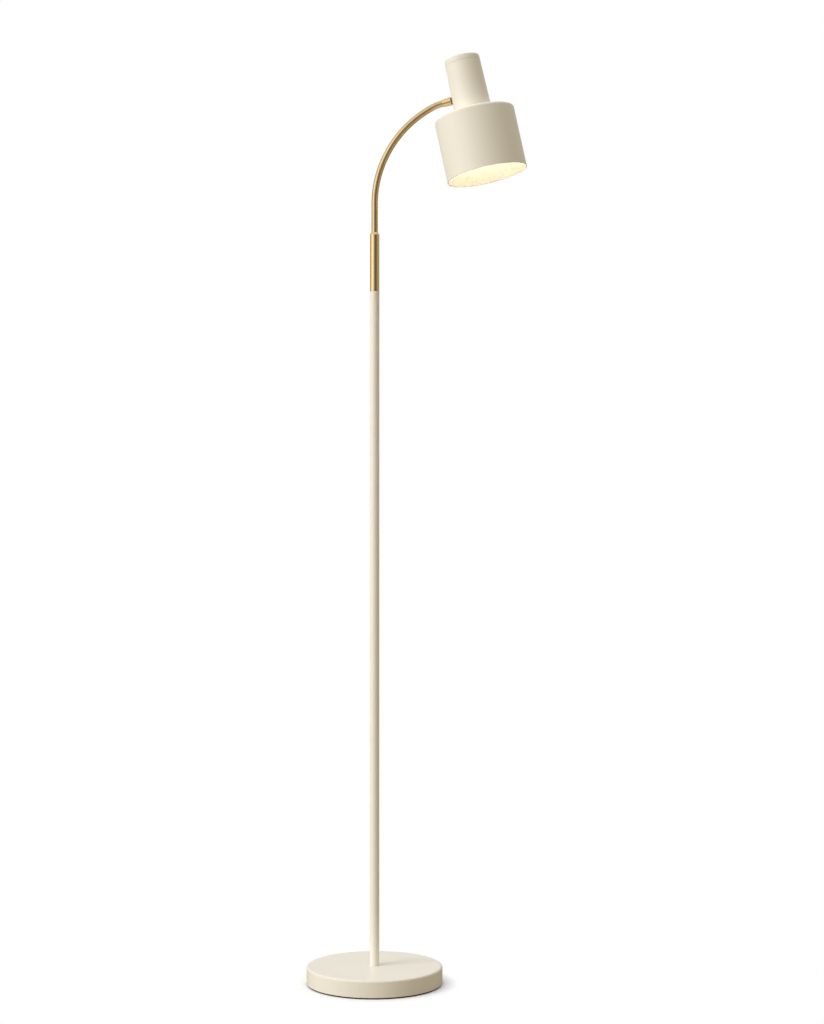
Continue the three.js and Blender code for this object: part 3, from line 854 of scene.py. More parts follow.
@dataclass(frozen=True)
class Base:
    """The round foot: a deep-drawn cover over an iron weight, on a foam pad, with the cord's bush."""

    wall: float = 0.0015
    top_round: float = 0.0035
    foot_round: float = 0.0005
    pole_hole: float = 0.0053
    bush_hole: float = 0.005
    pad_round: float = 0.0006
    bush_bore: float = 0.003
    bush_waist: float = 0.0046
    bush_lip: float = 0.0056
    bush_lip_depth: float = 0.0009
    bush_mouth: float = 0.0014
    bush_edge: float = 0.0003

    def build(self, finishes: Finishes) -> None:
        """Builds and dresses the base.

        Args:
            finishes: the lamp's finishes.
        """
        place = stand_place()
        self.cover(place, finishes)
        self.pad(place, finishes)
        self.bush(finishes)
        refinish(finishes.iron, "base_weight")
        refinish(finishes.steel, "base_stud", "base_washer", "base_nut")

    def cover(self, place: Place, finishes: Finishes) -> None:
        """Makes the painted cover, with the hole for the cord's bush in its rim.

        Args:
            place: the stand's place.
            finishes: the lamp's finishes.
        """
        low, high = place.span("base_cover")
        radius = place.reach("base_cover")
        inner, ceiling = radius - self.wall, high - self.wall
        piece = turned("base_cover_shell", [
            Corner(self.pole_hole, ceiling),
            Corner(inner, ceiling, self.top_round - self.wall),
            Corner(inner, low),
            Corner(radius, low, self.foot_round, True),
            Corner(radius, high, self.top_round, True),
            Corner(self.pole_hole, high),
        ], place, sides=160, steps=10)
        hole = prism("bush_hole", circle(self.bush_hole), radius / 2, radius + self.wall, bush_place())
        carve(piece, [hole])
        dress(piece, finishes.paint)
        hand_over(piece, Body.STAND, Slot.PAINT, "base_cover")

    def pad(self, place: Place, finishes: Finishes) -> None:
        """Makes the foam pad under the base.

        Args:
            place: the stand's place.
            finishes: the lamp's finishes.
        """
        low, high = place.span("base_pad")
        radius = place.reach("base_pad")
        piece = turned("base_pad_foam", [
            Corner(0.0, low),
            Corner(radius, low, self.pad_round),
            Corner(radius, high, self.pad_round),
            Corner(0.0, high),
        ], place, sides=128)
        dress(piece, finishes.foam)
        hand_over(piece, Body.STAND, Slot.PAD, "base_pad")

    def bush(self, finishes: Finishes) -> None:
        """Makes the rubber bush that the cord leaves through.

        Args:
            finishes: the lamp's finishes.
        """
        place = bush_place()
        inside, outside = place.span("cord_bush")
        rim = stand_place().reach("base_cover")
        flange = place.reach("cord_bush")
        shelf = inside + self.bush_lip_depth
        piece = turned("cord_bush_rubber", [
            Corner(self.bush_bore, inside, self.bush_edge),
            Corner(self.bush_lip, inside, self.bush_edge),
            Corner(self.bush_lip, shelf),
            Corner(self.bush_waist, shelf),
            Corner(self.bush_waist, rim + HAIRLINE),
            Corner(flange, rim + HAIRLINE, self.bush_edge),
            Corner(flange, outside, 3 * self.bush_edge),
            Corner(self.bush_bore + self.bush_mouth, outside, self.bush_edge),
            Corner(self.bush_bore, outside - 3 * self.bush_edge, self.bush_edge),
        ], place, sides=48)
        dress(piece, finishes.rubber)
        hand_over(piece, Body.STAND, Slot.RUBBER, "cord_bush")


def bush_place() -> Place:
    """The place of the cord's bush: its z runs out through the rim at the back of the base.

    Returns:
        A place on the pole's axis, at the height of the bush.
    """
    low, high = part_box("cord_bush")
    return Place(Vector((0.0, 0.0, (low.z + high.z) / 2)), Vector((1.0, 0.0, 0.0)), Vector((0.0, 1.0, 0.0)))


@dataclass(frozen=True)
class Pole:
    """Three painted tubes, joined by hidden plugs."""

    wall: float = 0.0012
    end_round: float = 0.00018

    def build(self, finishes: Finishes) -> None:
        """Builds the pole from the base's top to the foot of the sleeve.

        Args:
            finishes: the lamp's finishes.
        """
        place = stand_place()
        names = ("pole_lower", "pole_middle", "pole_upper")
        edges = [place.span("base_cover")[1]]
        for lower, upper in zip(names, (*names[1:], "sleeve")):
            edges.append((place.span(lower)[1] + place.span(upper)[0]) / 2)
        for name, foot, top in zip(names, edges, edges[1:]):
            piece = tube(f"{name}_tube", place, place.reach(name), self.wall, foot + HAIRLINE,
                         top - HAIRLINE, self.end_round)
            dress(piece, finishes.paint)
            hand_over(piece, Body.STAND, Slot.PAINT, name)
        refinish(finishes.steel, "pole_foot_plug", "pole_joint_lower", "pole_joint_upper", "sleeve_joint")


def tube(name: str, place: Place, radius: float, wall: float, foot: float, top: float,
         end_round: float) -> bpy.types.Object:
    """A straight tube with softened ends.

    Args:
        name: the piece's name.
        place: where the tube stands.
        radius: its outer radius.
        wall: its wall.
        foot: height of its lower end.
        top: height of its upper end.
        end_round: rounding of its outer ends.

    Returns:
        The tube.
    """
    return turned(name, [
        Corner(radius - wall, foot),
        Corner(radius, foot, end_round, True),
        Corner(radius, top, end_round, True),
        Corner(radius - wall, top),
    ], place, sides=64, steps=4)


@dataclass(frozen=True)
class Sleeve:
    """The brass sleeve that carries the foot of the gooseneck."""

    wall: float = 0.0012
    shoulder: float = 0.003
    shoulder_rise: float = 0.0040
    shoulder_run: float = 0.0019
    shoulder_round: float = 0.001
    arm_hole: float = 0.00565
    end_round: float = 0.0002

    def build(self, finishes: Finishes) -> None:
        """Builds and dresses the sleeve.

        Args:
            finishes: the lamp's finishes.
        """
        place = stand_place()
        foot = (place.span("pole_upper")[1] + place.span("sleeve")[0]) / 2 + HAIRLINE
        top = place.span("sleeve")[1]
        radius = place.reach("sleeve")
        piece = turned("sleeve_tube", [
            Corner(radius - self.wall, foot),
            Corner(radius, foot, self.end_round, True),
            Corner(radius, top - self.shoulder_rise, self.shoulder_round, True),
            Corner(radius - self.shoulder_run, top, self.shoulder_round, True),
            Corner(self.arm_hole, top, self.end_round),
            Corner(self.arm_hole, top - self.shoulder),
            Corner(radius - self.wall, top - self.shoulder),
        ], place, sides=96)
        dress(piece, finishes.brass)
        hand_over(piece, Body.STAND, Slot.BRASS, "sleeve")
        refinish(finishes.brass, "arm_socket")


# ---------------------------------------------------------------- arm


@dataclass(frozen=True)
class Gooseneck:
    """The flexible arm: a wound tube with a fine groove that runs round it like a thread.

    Its line is straight above the sleeve, then a long bend, then a tighter one into the ferrule. Each joint
    has a length of its own, made at rest in the frame.
    """

    radius: float = 0.0055
    straight: float = 0.0485
    bend_radius: float = 0.178
    bend: float = math.radians(64)
    tip_radius: float = 0.080
    tip_bend: float = math.radians(13.6)
    in_socket: float = 0.0137
    in_ferrule: float = 0.0085
    pitch: float = 0.0016
    groove_depth: float = 0.00004
    groove_width: float = 0.12
    sides: int = 36
    settle_length: float = 0.001
    tries: int = 4001
    joints: tuple[str, ...] = (
        "gooseneck_side_bend", "low_bend_first", "low_bend", "low_bend_last",
        "high_bend_first", "high_bend", "high_bend_last",
    )
    turn_steps: tuple[float, ...] = (0.0, 0.1, 0.22, 0.5, 0.78, 0.9)

    def length(self) -> float:
        """Length of the line from the sleeve's top to the ferrule."""
        return self.straight + self.bend_radius * self.bend + self.tip_radius * self.tip_bend

    def line(self, distance: np.ndarray) -> tuple[np.ndarray, np.ndarray]:
        """The middle line of the arm.

        Args:
            distance: distances along it from the sleeve's top, below 0 inside the sleeve.

        Returns:
            The points, and the lean of the line from the vertical at each.
        """
        top = stand_place().span("sleeve")[1]
        past = distance - self.straight
        before_tip = self.bend * self.bend_radius / self.tip_radius
        turn = np.clip(past / self.bend_radius, 0, self.bend)
        tip = np.clip(past / self.tip_radius - before_tip, 0, self.tip_bend)
        lean = turn + tip
        below = np.minimum(distance, self.straight)
        beyond = np.maximum(distance - self.length(), 0)
        x = self.bend_radius * (1 - np.cos(turn)) + self.tip_radius * (np.cos(turn) - np.cos(lean))
        z = top + below + self.bend_radius * np.sin(turn) + self.tip_radius * (np.sin(lean) - np.sin(turn))
        points = np.stack([x + beyond * np.sin(lean), np.zeros_like(x), z + beyond * np.cos(lean)], axis=-1)
        return points, lean

    def point(self, distance: float) -> Vector:
        """One point of the middle line."""
        return Vector(self.line(np.array([distance]))[0][0])

    def distance_of(self, joint: str) -> float:
        """How far along the line a joint is.

        Args:
            joint: the joint's name.

        Returns:
            The distance of the line's point nearest to the joint.
        """
        tries = np.linspace(0, self.length(), self.tries)
        gaps = np.linalg.norm(self.line(tries)[0] - np.array(joint_named(joint)["pos_m"]), axis=1)
        return float(tries[gaps.argmin()])

    def wound(self, name: str, first: int, last: int) -> bpy.types.Object:
        """One length of the wound tube, from one turn of the groove to another.

        Args:
            name: the piece's name.
            first: the turn where it starts, counted from the foot.
            last: the turn where it ends.

        Returns:
            The length of tube, in the frame.
        """
        starts = [turn + step for turn in range(first, last) for step in self.turn_steps]
        winds = np.array([*starts, float(last)])
        around = np.arange(self.sides + 1) / self.sides
        along = -self.in_socket + self.pitch * (winds[:, None] + around[None, :])
        phase = winds - np.floor(winds)
        depth = np.exp(-((np.minimum(phase, 1 - phase) / self.groove_width) ** 2))
        size = (self.radius - self.groove_depth * depth)[:, None, None]
        points, lean = self.line(along)
        across = np.stack([np.cos(lean), np.zeros_like(lean), -np.sin(lean)], axis=-1)
        turn = 2 * math.pi * around[None, :, None]
        corners = points + size * (np.sin(turn) * across + np.cos(turn) * np.array([0.0, 1.0, 0.0]))
        row = self.sides + 1
        faces = [
            (base + side, base + side + 1, base + row + side + 1, base + row + side)
            for base in range(0, (len(winds) - 1) * row, row) for side in range(self.sides)
        ]
        piece = new_piece(name, corners.reshape(-1, 3), faces, None, np.repeat(depth, row))
        close_ends(piece.data)
        # the groove's depth stays on the mesh as the mask that paints shade into the groove
        rename_attribute(piece.data, "wear", "groove")
        return piece

    def build(self, finishes: Finishes) -> None:
        """Builds one length for each joint, in place of the CAD gooseneck pieces.

        Args:
            finishes: the lamp's finishes.
        """
        spots = [self.distance_of(name) for name in self.joints]
        whole = self.length() + self.in_ferrule
        ends = [-self.in_socket, *((one + other) / 2 for one, other in zip(spots, spots[1:])), whole]
        turns = [round((end + self.in_socket) / self.pitch) for end in ends]
        for index, name in enumerate(self.joints):
            piece = self.wound(f"gooseneck_length_{index + 1}", turns[index], turns[index + 1])
            dress(piece, finishes.gooseneck)
            start = max(ends[index] + self.pitch, 0.0) + self.settle_length
            end = min(ends[index + 1] - self.settle_length, self.length() - 2 * self.settle_length)
            self.point(start)
            self.point(end)
            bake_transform(piece)
            last = index == len(self.joints) - 1
            stands_for = [f"gooseneck_{index + 1}"] + ([f"gooseneck_{index + 2}"] if last else [])
            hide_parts(*stands_for)
            log.info("%s bends at %s for %s", piece.name, name, ", ".join(stands_for))


def close_ends(mesh: bpy.types.Mesh) -> None:
    """Closes the open ends of a tube.

    Args:
        mesh: the tube's mesh.
    """
    work = bmesh.new()
    work.from_mesh(mesh)
    rim = [edge for edge in work.edges if edge.is_boundary]
    bmesh.ops.holes_fill(work, edges=rim, sides=0)
    work.to_mesh(mesh)
    work.free()
    mesh.set_sharp_from_angle(angle=SHARP_ANGLE)


def rename_attribute(mesh: bpy.types.Mesh, old: str, new: str) -> None:
    """Renames a value that the mesh holds."""
    mesh.attributes[old].name = new


@dataclass(frozen=True)
class Ferrule:
    """The brass cup at the end of the arm, with the fibre washer and the nut that the head turns on."""

    mouth: float = 0.0061
    swell: float = 0.0073
    arm_hole: float = 0.00565
    socket_depth: float = 0.009
    shank: float = 0.005
    shank_bore: float = 0.0028
    edge: float = 0.0006
    washer_gap: float = 0.0003

    def build(self, finishes: Finishes) -> None:
        """Builds the ferrule and its washer.

        Args:
            finishes: the lamp's finishes.
        """
        place = ferrule_place()
        rim, shank_end = place.span("arm_ferrule")
        piece = turned("ferrule_cup", [
            Corner(self.shank_bore, rim + self.socket_depth),
            Corner(self.arm_hole, rim + self.socket_depth),
            Corner(self.arm_hole, rim, self.edge / 3),
            Corner(self.mouth, rim, self.edge / 2, True),
            Corner(self.swell, -self.edge, self.edge, True),
            Corner(self.swell - self.edge, 0.0, self.edge / 3),
            Corner(self.shank, 0.0),
            Corner(self.shank, shank_end, self.edge / 2),
            Corner(self.shank_bore, shank_end),
        ], place, sides=64)
        dress(piece, finishes.brass)
        hand_over(piece, Body.ARM_TIP, Slot.BRASS, "arm_ferrule")
        self.washer(place, finishes)
        refinish(finishes.steel, "ferrule_washer", "ferrule_nut")

    def washer(self, place: Place, finishes: Finishes) -> None:
        """Makes the fibre washer between the ferrule and the neck.

        Args:
            place: the ferrule's place.
            finishes: the lamp's finishes.
        """
        outer = place.reach("swivel_washer")
        far = place.span("swivel_washer")[1]
        piece = turned("swivel_washer_disc", [
            Corner(self.shank + self.washer_gap, HAIRLINE),
            Corner(outer, HAIRLINE, self.edge / 2),
            Corner(outer, far),
            Corner(self.shank + self.washer_gap, far),
        ], place, sides=64)
        dress(piece, finishes.fibre)
        hand_over(piece, Body.HEAD, Slot.FIBRE, "swivel_washer")


# ---------------------------------------------------------------- head


@dataclass(frozen=True)
class Neck:
    """The tapered neck above the drum, closed by a pressed-in cap."""

    wall: float = 0.0012
    cap_height: float = 0.010
    cap_round: float = 0.004
    spigot: float = 0.006
    seam_round: float = 0.0004
    shank_hole: float = 0.0053
    hole_reach: float = 0.012
    spigot_gap: float = 0.0003

    def build(self, finishes: Finishes) -> None:
        """Builds the neck and its cap.

        Args:
            finishes: the lamp's finishes.
        """
        place = head_place()
        top = place.span("neck_cap")[1]
        foot_radius, top_radius = place.reach("neck_housing"), place.reach("neck_cap")
        seam = top - self.cap_height
        seam_radius = top_radius

        def radius(height: float) -> float:
            """The neck's outer radius at a height."""
            return foot_radius + (seam_radius - foot_radius) * height / seam

        tube_piece = turned("neck_tube", [
            Corner(radius(0) - self.wall, HAIRLINE),
            Corner(radius(0), HAIRLINE, self.seam_round),
            Corner(radius(seam), seam - HAIRLINE, self.seam_round, True),
            Corner(radius(seam) - self.wall, seam - HAIRLINE),
        ], place, sides=128)
        arm = ferrule_place()
        carve(tube_piece, [prism("shank_hole", circle(self.shank_hole), 0.0, self.hole_reach, arm)])
        dress(tube_piece, finishes.paint)
        hand_over(tube_piece, Body.HEAD, Slot.PAINT, "neck_housing")

        spigot_radius = radius(seam) - self.wall - self.spigot_gap
        cap = turned("neck_cap_shell", [
            Corner(0.0, top - self.wall),
            Corner(spigot_radius - self.wall, top - self.wall),
            Corner(spigot_radius - self.wall, seam - self.spigot),
            Corner(spigot_radius, seam - self.spigot),
            Corner(spigot_radius, seam + HAIRLINE),
            Corner(radius(seam), seam + HAIRLINE, self.seam_round, True),
            Corner(radius(top), top, self.cap_round, True),
            Corner(0.0, top),
        ], place, sides=128, steps=10)
        dress(cap, finishes.paint)
        hand_over(cap, Body.HEAD, Slot.PAINT, "neck_cap")
        refinish(finishes.steel, "neck_ring")


@dataclass(frozen=True)
class Drum:
    """The drum shade: thin spun steel, with a ring of vents round the neck and three screws up into it."""

    wall: float = 0.001
    top_round: float = 0.005
    rim_round: float = 0.0004
    vents: int = 12
    vent_steps: int = 9
    vent_start: float = 0.005
    vent_width: float = 0.006
    vent_turn: float = math.radians(18)
    screws: int = 3
    screw_shank: float = 0.0015
    screw_round: float = 0.0012
    slot_reach: float = 0.0017
    slot_half_width: float = 0.0004
    slot_depth: float = 0.0012

    def build(self, finishes: Finishes) -> None:
        """Builds the drum and its screws.

        Args:
            finishes: the lamp's finishes.
        """
        place = head_place()
        self.shell(place, finishes)
        for index in range(self.screws):
            self.screw(f"shade_screw_{index + 1}", place, finishes)

    def shell(self, place: Place, finishes: Finishes) -> None:
        """Makes the painted shell with its vents.

        Args:
            place: the head's place.
            finishes: the lamp's finishes.
        """
        rim = place.span("drum_shade")[0]
        radius = place.reach("drum_shade")
        inner = radius - self.wall
        bore = self.plate_bore(place)
        piece = turned("drum_shell", [
            Corner(bore, -self.wall),
            Corner(inner, -self.wall, self.top_round - self.wall),
            Corner(inner, rim, self.rim_round, True),
            Corner(radius, rim, self.rim_round, True),
            Corner(radius, 0.0, self.top_round, True),
            Corner(bore, 0.0),
        ], place, sides=192, steps=10)
        carve(piece, [self.vent(place, index) for index in range(self.vents)])
        dress(piece, finishes.paint, finishes.lining)
        middle = self.wall / 2
        for face in piece.data.polygons:
            out = math.hypot(face.center.x, face.center.y)
            if out < radius - middle and face.center.z < -middle and face.center.z > rim + middle:
                face.material_index = 1
        hand_over(piece, Body.HEAD, Slot.PAINT, "drum_shade")

    def plate_bore(self, place: Place) -> float:
        """Radius of the hole in the middle of the drum's top plate.

        Args:
            place: the head's place.

        Returns:
            The smallest distance of the shade from the head's axis.
        """
        distances = []
        for vertex in frame["nodes"]["drum_shade"].data.vertices:
            offset = vertex.co - place.origin
            distances.append((offset - place.z * offset.dot(place.z)).length)
        return min(distances)

    def vent(self, place: Place, index: int) -> bpy.types.Object:
        """The cutter of one vent: a curved slot with round ends.

        Args:
            place: the head's place.
            index: which vent it is.

        Returns:
            The cutter.
        """
        inner = place.reach("neck_housing") + self.vent_start
        half_width, middle = self.vent_width / 2, inner + self.vent_width / 2
        half_turn = self.vent_turn / 2 - half_width / middle
        mid_turn = 2 * math.pi * index / self.vents
        outline = []
        for share in np.linspace(-1, 1, self.vent_steps):
            turn = mid_turn + half_turn * share
            outline.append(((middle + half_width) * math.cos(turn), (middle + half_width) * math.sin(turn)))
        for end, start in ((1, 0.0), (-1, math.pi)):
            turn = mid_turn + half_turn * end
            centre = (middle * math.cos(turn), middle * math.sin(turn))
            for share in np.linspace(0, 1, self.vent_steps)[1:-1]:
                angle = turn + start + math.pi * share
                across, along = half_width * math.cos(angle), half_width * math.sin(angle)
                outline.append((centre[0] + across, centre[1] + along))
            if end == 1:
                for back in np.linspace(1, -1, self.vent_steps):
                    turn_back = mid_turn + half_turn * back
                    low = middle - half_width
                    outline.append((low * math.cos(turn_back), low * math.sin(turn_back)))
        return prism(f"vent_cutter_{index}", outline, -3 * self.wall, 2 * self.wall, place)

    def screw(self, node: str, place: Place, finishes: Finishes) -> None:
        """Makes one pan-head screw with a cross recess.

        Args:
            node: the CAD node that it stands for.
            place: the head's place.
            finishes: the lamp's finishes.
        """
        corners = [place.matrix().inverted() @ vertex.co for vertex in frame["nodes"][node].data.vertices]
        across = (min(corner.x for corner in corners) + max(corner.x for corner in corners)) / 2
        along = (min(corner.y for corner in corners) + max(corner.y for corner in corners)) / 2
        own = Place(place.matrix() @ Vector((across, along, 0.0)), place.x, place.z)
        low, high = own.span(node)
        head, under = own.reach(node), -self.wall - HAIRLINE
        piece = turned(f"{node}_pan", [
            Corner(0.0, low),
            Corner(head, low, self.screw_round, True),
            Corner(head, under, self.screw_round / 6),
            Corner(self.screw_shank, under),
            Corner(self.screw_shank, high, self.screw_shank / 5),
            Corner(0.0, high),
        ], own, sides=48)
        reach, slit = self.slot_reach, self.slot_half_width
        bars = [
            [(-reach, -slit), (reach, -slit), (reach, slit), (-reach, slit)],
            [(-slit, -reach), (slit, -reach), (slit, reach), (-slit, reach)],
        ]
        deep = self.slot_depth
        carve(piece, [prism("recess", bar, low - deep, low + deep, own) for bar in bars])
        dress(piece, finishes.steel)
        hand_over(piece, Body.HEAD, Slot.STEEL, node)


@dataclass(frozen=True)
class Lampholder:
    """The porcelain lampholder inside the neck, hung from a steel bracket."""

    wall: float = 0.0026
    wire_hole: float = 0.0026
    top_thickness: float = 0.004
    ribs: int = 3
    rib_start: float = 0.006
    rib_depth: float = 0.0006
    rib_flat: float = 0.0012
    rib_step: float = 0.0042
    edge: float = 0.0003
    lip_round: float = 0.0012
    stem_depth: float = 0.005
    dome: float = 0.0048

    def build(self, finishes: Finishes) -> None:
        """Builds the holder's body and cap.

        Args:
            finishes: the lamp's finishes.
        """
        place = head_place()
        foot, top = place.span("holder_body")
        radius = place.reach("holder_body")
        outside = [Corner(radius, foot, self.lip_round)]
        for rib in range(self.ribs):
            start = foot + self.rib_start + rib * self.rib_step
            end = start + 2 * self.rib_depth + self.rib_flat
            outside += [
                Corner(radius, start, self.edge),
                Corner(radius - self.rib_depth, start + self.rib_depth, self.edge),
                Corner(radius - self.rib_depth, end - self.rib_depth, self.edge),
                Corner(radius, end, self.edge),
            ]
        body = turned("holder_body_porcelain", [
            Corner(self.wire_hole, top - self.top_thickness),
            Corner(radius - self.wall, top - self.top_thickness),
            Corner(radius - self.wall, foot, self.lip_round),
            *outside,
            Corner(radius, top, 2 * self.edge),
            Corner(self.wire_hole, top),
        ], place, sides=72)
        dress(body, finishes.porcelain)
        hand_over(body, Body.HEAD, Slot.PORCELAIN, "holder_body")
        foot, top = place.span("holder_cap")
        stem = place.reach("holder_nipple") + self.edge
        cap = turned("holder_cap_porcelain", [
            Corner(self.wire_hole, foot),
            Corner(radius, foot, self.edge),
            Corner(radius, top, self.dome),
            Corner(stem, top, self.edge),
            Corner(stem, top - self.stem_depth),
            Corner(self.wire_hole, top - self.stem_depth),
        ], place, sides=72)
        dress(cap, finishes.porcelain)
        hand_over(cap, Body.HEAD, Slot.PORCELAIN, "holder_cap")
        refinish(finishes.steel, "holder_bracket", "holder_nipple", "holder_nut")
        refinish(finishes.brass, "holder_shell", "holder_contact")


@dataclass(frozen=True)
class Bulb:
    """A pear-shaped opal bulb with a threaded cap."""

    shoulder: float = math.radians(40)
    ease: float = 0.45
    foot_glow: float = 0.2
    glow_climb: float = 1.5
    seat_fade: float = 0.55
    glass_wall: float = 0.0008
    thread_turns: int = 6
    thread_depth: float = 0.0008
    cap_wall: float = 0.0006
    cap_lead: float = 0.003
    edge: float = 0.0004
    globe_steps: int = 25
    neck_steps: int = 15
    steps_per_turn: int = 8

    def build(self, finishes: Finishes) -> None:
        """Builds the glass, the cap, the insulator and the contact.

        Args:
            finishes: the lamp's finishes.
        """
        place = head_place()
        self.glass(place, finishes)
        self.cap(place, finishes)
        self.insulator(place, finishes)

    def glass(self, place: Place, finishes: Finishes) -> None:
        """Makes the glowing glass: a globe that draws in to the cap.

        Args:
            place: the head's place.
            finishes: the lamp's finishes.
        """
        low, high = place.span("bulb_glass")
        globe, neck = place.reach("bulb_glass"), place.reach("bulb_cap")
        centre = low + globe
        rings: list[Ring] = []
        for share in np.linspace(0, 1, self.globe_steps):
            turn = -math.pi / 2 + (math.pi / 2 + self.shoulder) * share
            rise = (1 + math.sin(turn)) / (1 + math.sin(self.shoulder))
            glow = max(self.foot_glow, rise ** self.glow_climb)
            rings.append((globe * math.cos(turn), centre + globe * math.sin(turn), glow))
        rings[0] = (0.0, low, self.foot_glow)
        start = np.array(rings[-1][:2])
        reach = (high - start[1]) * self.ease
        lean = np.array([-math.sin(self.shoulder), math.cos(self.shoulder)])
        stops = [start, start + reach * lean, np.array([neck, high - reach]), np.array([neck, high])]
        for share in np.linspace(0, 1, self.neck_steps)[1:]:
            rest = 1 - share
            parts = [rest ** 3, 3 * share * rest ** 2, 3 * share ** 2 * rest, share ** 3]
            spot = sum(part * stop for part, stop in zip(parts, stops))
            rings.append((float(spot[0]), float(spot[1]), 1.0 - self.seat_fade * share))
        rings.append((neck - self.glass_wall, high, 0.0))
        rings.append((0.0, high, 0.0))
        piece = spun("bulb_glass_opal", rings, place, sides=64)
        rename_attribute(piece.data, "wear", "glow")
        dress(piece, finishes.opal)
        hand_over(piece, Body.HEAD, Slot.OPAL, "bulb_glass")

    def cap(self, place: Place, finishes: Finishes) -> None:
        """Makes the threaded cap.

        Args:
            place: the head's place.
            finishes: the lamp's finishes.
        """
        low, high = place.span("bulb_cap")
        radius = place.reach("bulb_cap")
        threaded_foot, threaded_top = low + self.cap_lead, high - self.cap_lead
        rings: list[Ring] = [(radius - self.cap_wall, low, 0.0), (radius, low, 0.0)]
        for share in np.linspace(0, 1, self.steps_per_turn * self.thread_turns + 1):
            swell = (1 + math.cos(2 * math.pi * self.thread_turns * share)) / 2
            height = threaded_foot + (threaded_top - threaded_foot) * share
            rings.append((radius - self.thread_depth * swell, height, 0.0))
        mouth = radius - self.cap_lead
        rings += [(mouth, high, 0.0), (mouth - self.cap_wall, high, 0.0)]
        inside = radius - self.thread_depth - self.cap_wall
        rings += [(inside, threaded_top, 0.0), (inside, threaded_foot, 0.0)]
        piece = spun("bulb_cap_threaded", rings, place, sides=64)
        dress(piece, finishes.steel)
        hand_over(piece, Body.HEAD, Slot.STEEL, "bulb_cap")

    def insulator(self, place: Place, finishes: Finishes) -> None:
        """Makes the black glass and the contact at the end of the cap.

        Args:
            place: the head's place.
            finishes: the lamp's finishes.
        """
        low, high = place.span("bulb_insulator")
        tip_low, tip_high = place.span("bulb_tip")
        tip = place.reach("bulb_tip")
        glass = turned("bulb_insulator_glass", [
            Corner(0.0, low),
            Corner(place.reach("bulb_insulator"), low, self.edge),
            Corner(tip, high, self.edge),
            Corner(0.0, high),
        ], place, sides=48)
        dress(glass, finishes.black_glass)
        hand_over(glass, Body.HEAD, Slot.BLACK_GLASS, "bulb_insulator")
        contact = turned("bulb_tip_solder", [
            Corner(0.0, tip_low),
            Corner(tip, tip_low, self.edge / 2),
            Corner(tip, tip_high, 2 * self.edge),
            Corner(0.0, tip_high),
        ], place, sides=48)
        dress(contact, finishes.steel)
        hand_over(contact, Body.HEAD, Slot.STEEL, "bulb_tip")


# ---------------------------------------------------------------- studio


@dataclass(frozen=True)
class SoftBox:
    """A large soft light that faces the lamp."""

    name: str = "key_light"
    azimuth: float = math.radians(-46.0)
    distance: float = 2.0
    height: float = 1.35
    aim_height: float = 0.9
    width: float = 2.3
    tall: float = 2.7
    radiance: float = 0.95
    colour: Rgb = (1.0, 0.985, 0.97)

    def build(self) -> None:
        """Hangs the light and aims it at the lamp."""
        light = bpy.data.lights.new(self.name, "AREA")
        light.shape = "RECTANGLE"
        light.size, light.size_y = self.width, self.tall
        light.color = self.colour
        light.energy = math.pi * self.width * self.tall * self.radiance
        lamp = bpy.data.objects.new(self.name, light)
        aside, ahead = math.sin(self.azimuth), -math.cos(self.azimuth)
        lamp.location = (self.distance * aside, self.distance * ahead, self.height)
        aim = Vector((0.0, 0.0, self.aim_height)) - lamp.location
        lamp.rotation_euler = aim.to_track_quat("-Z", "Y").to_euler()
        lamp.visible_camera = False
        bpy.context.scene.collection.objects.link(lamp)


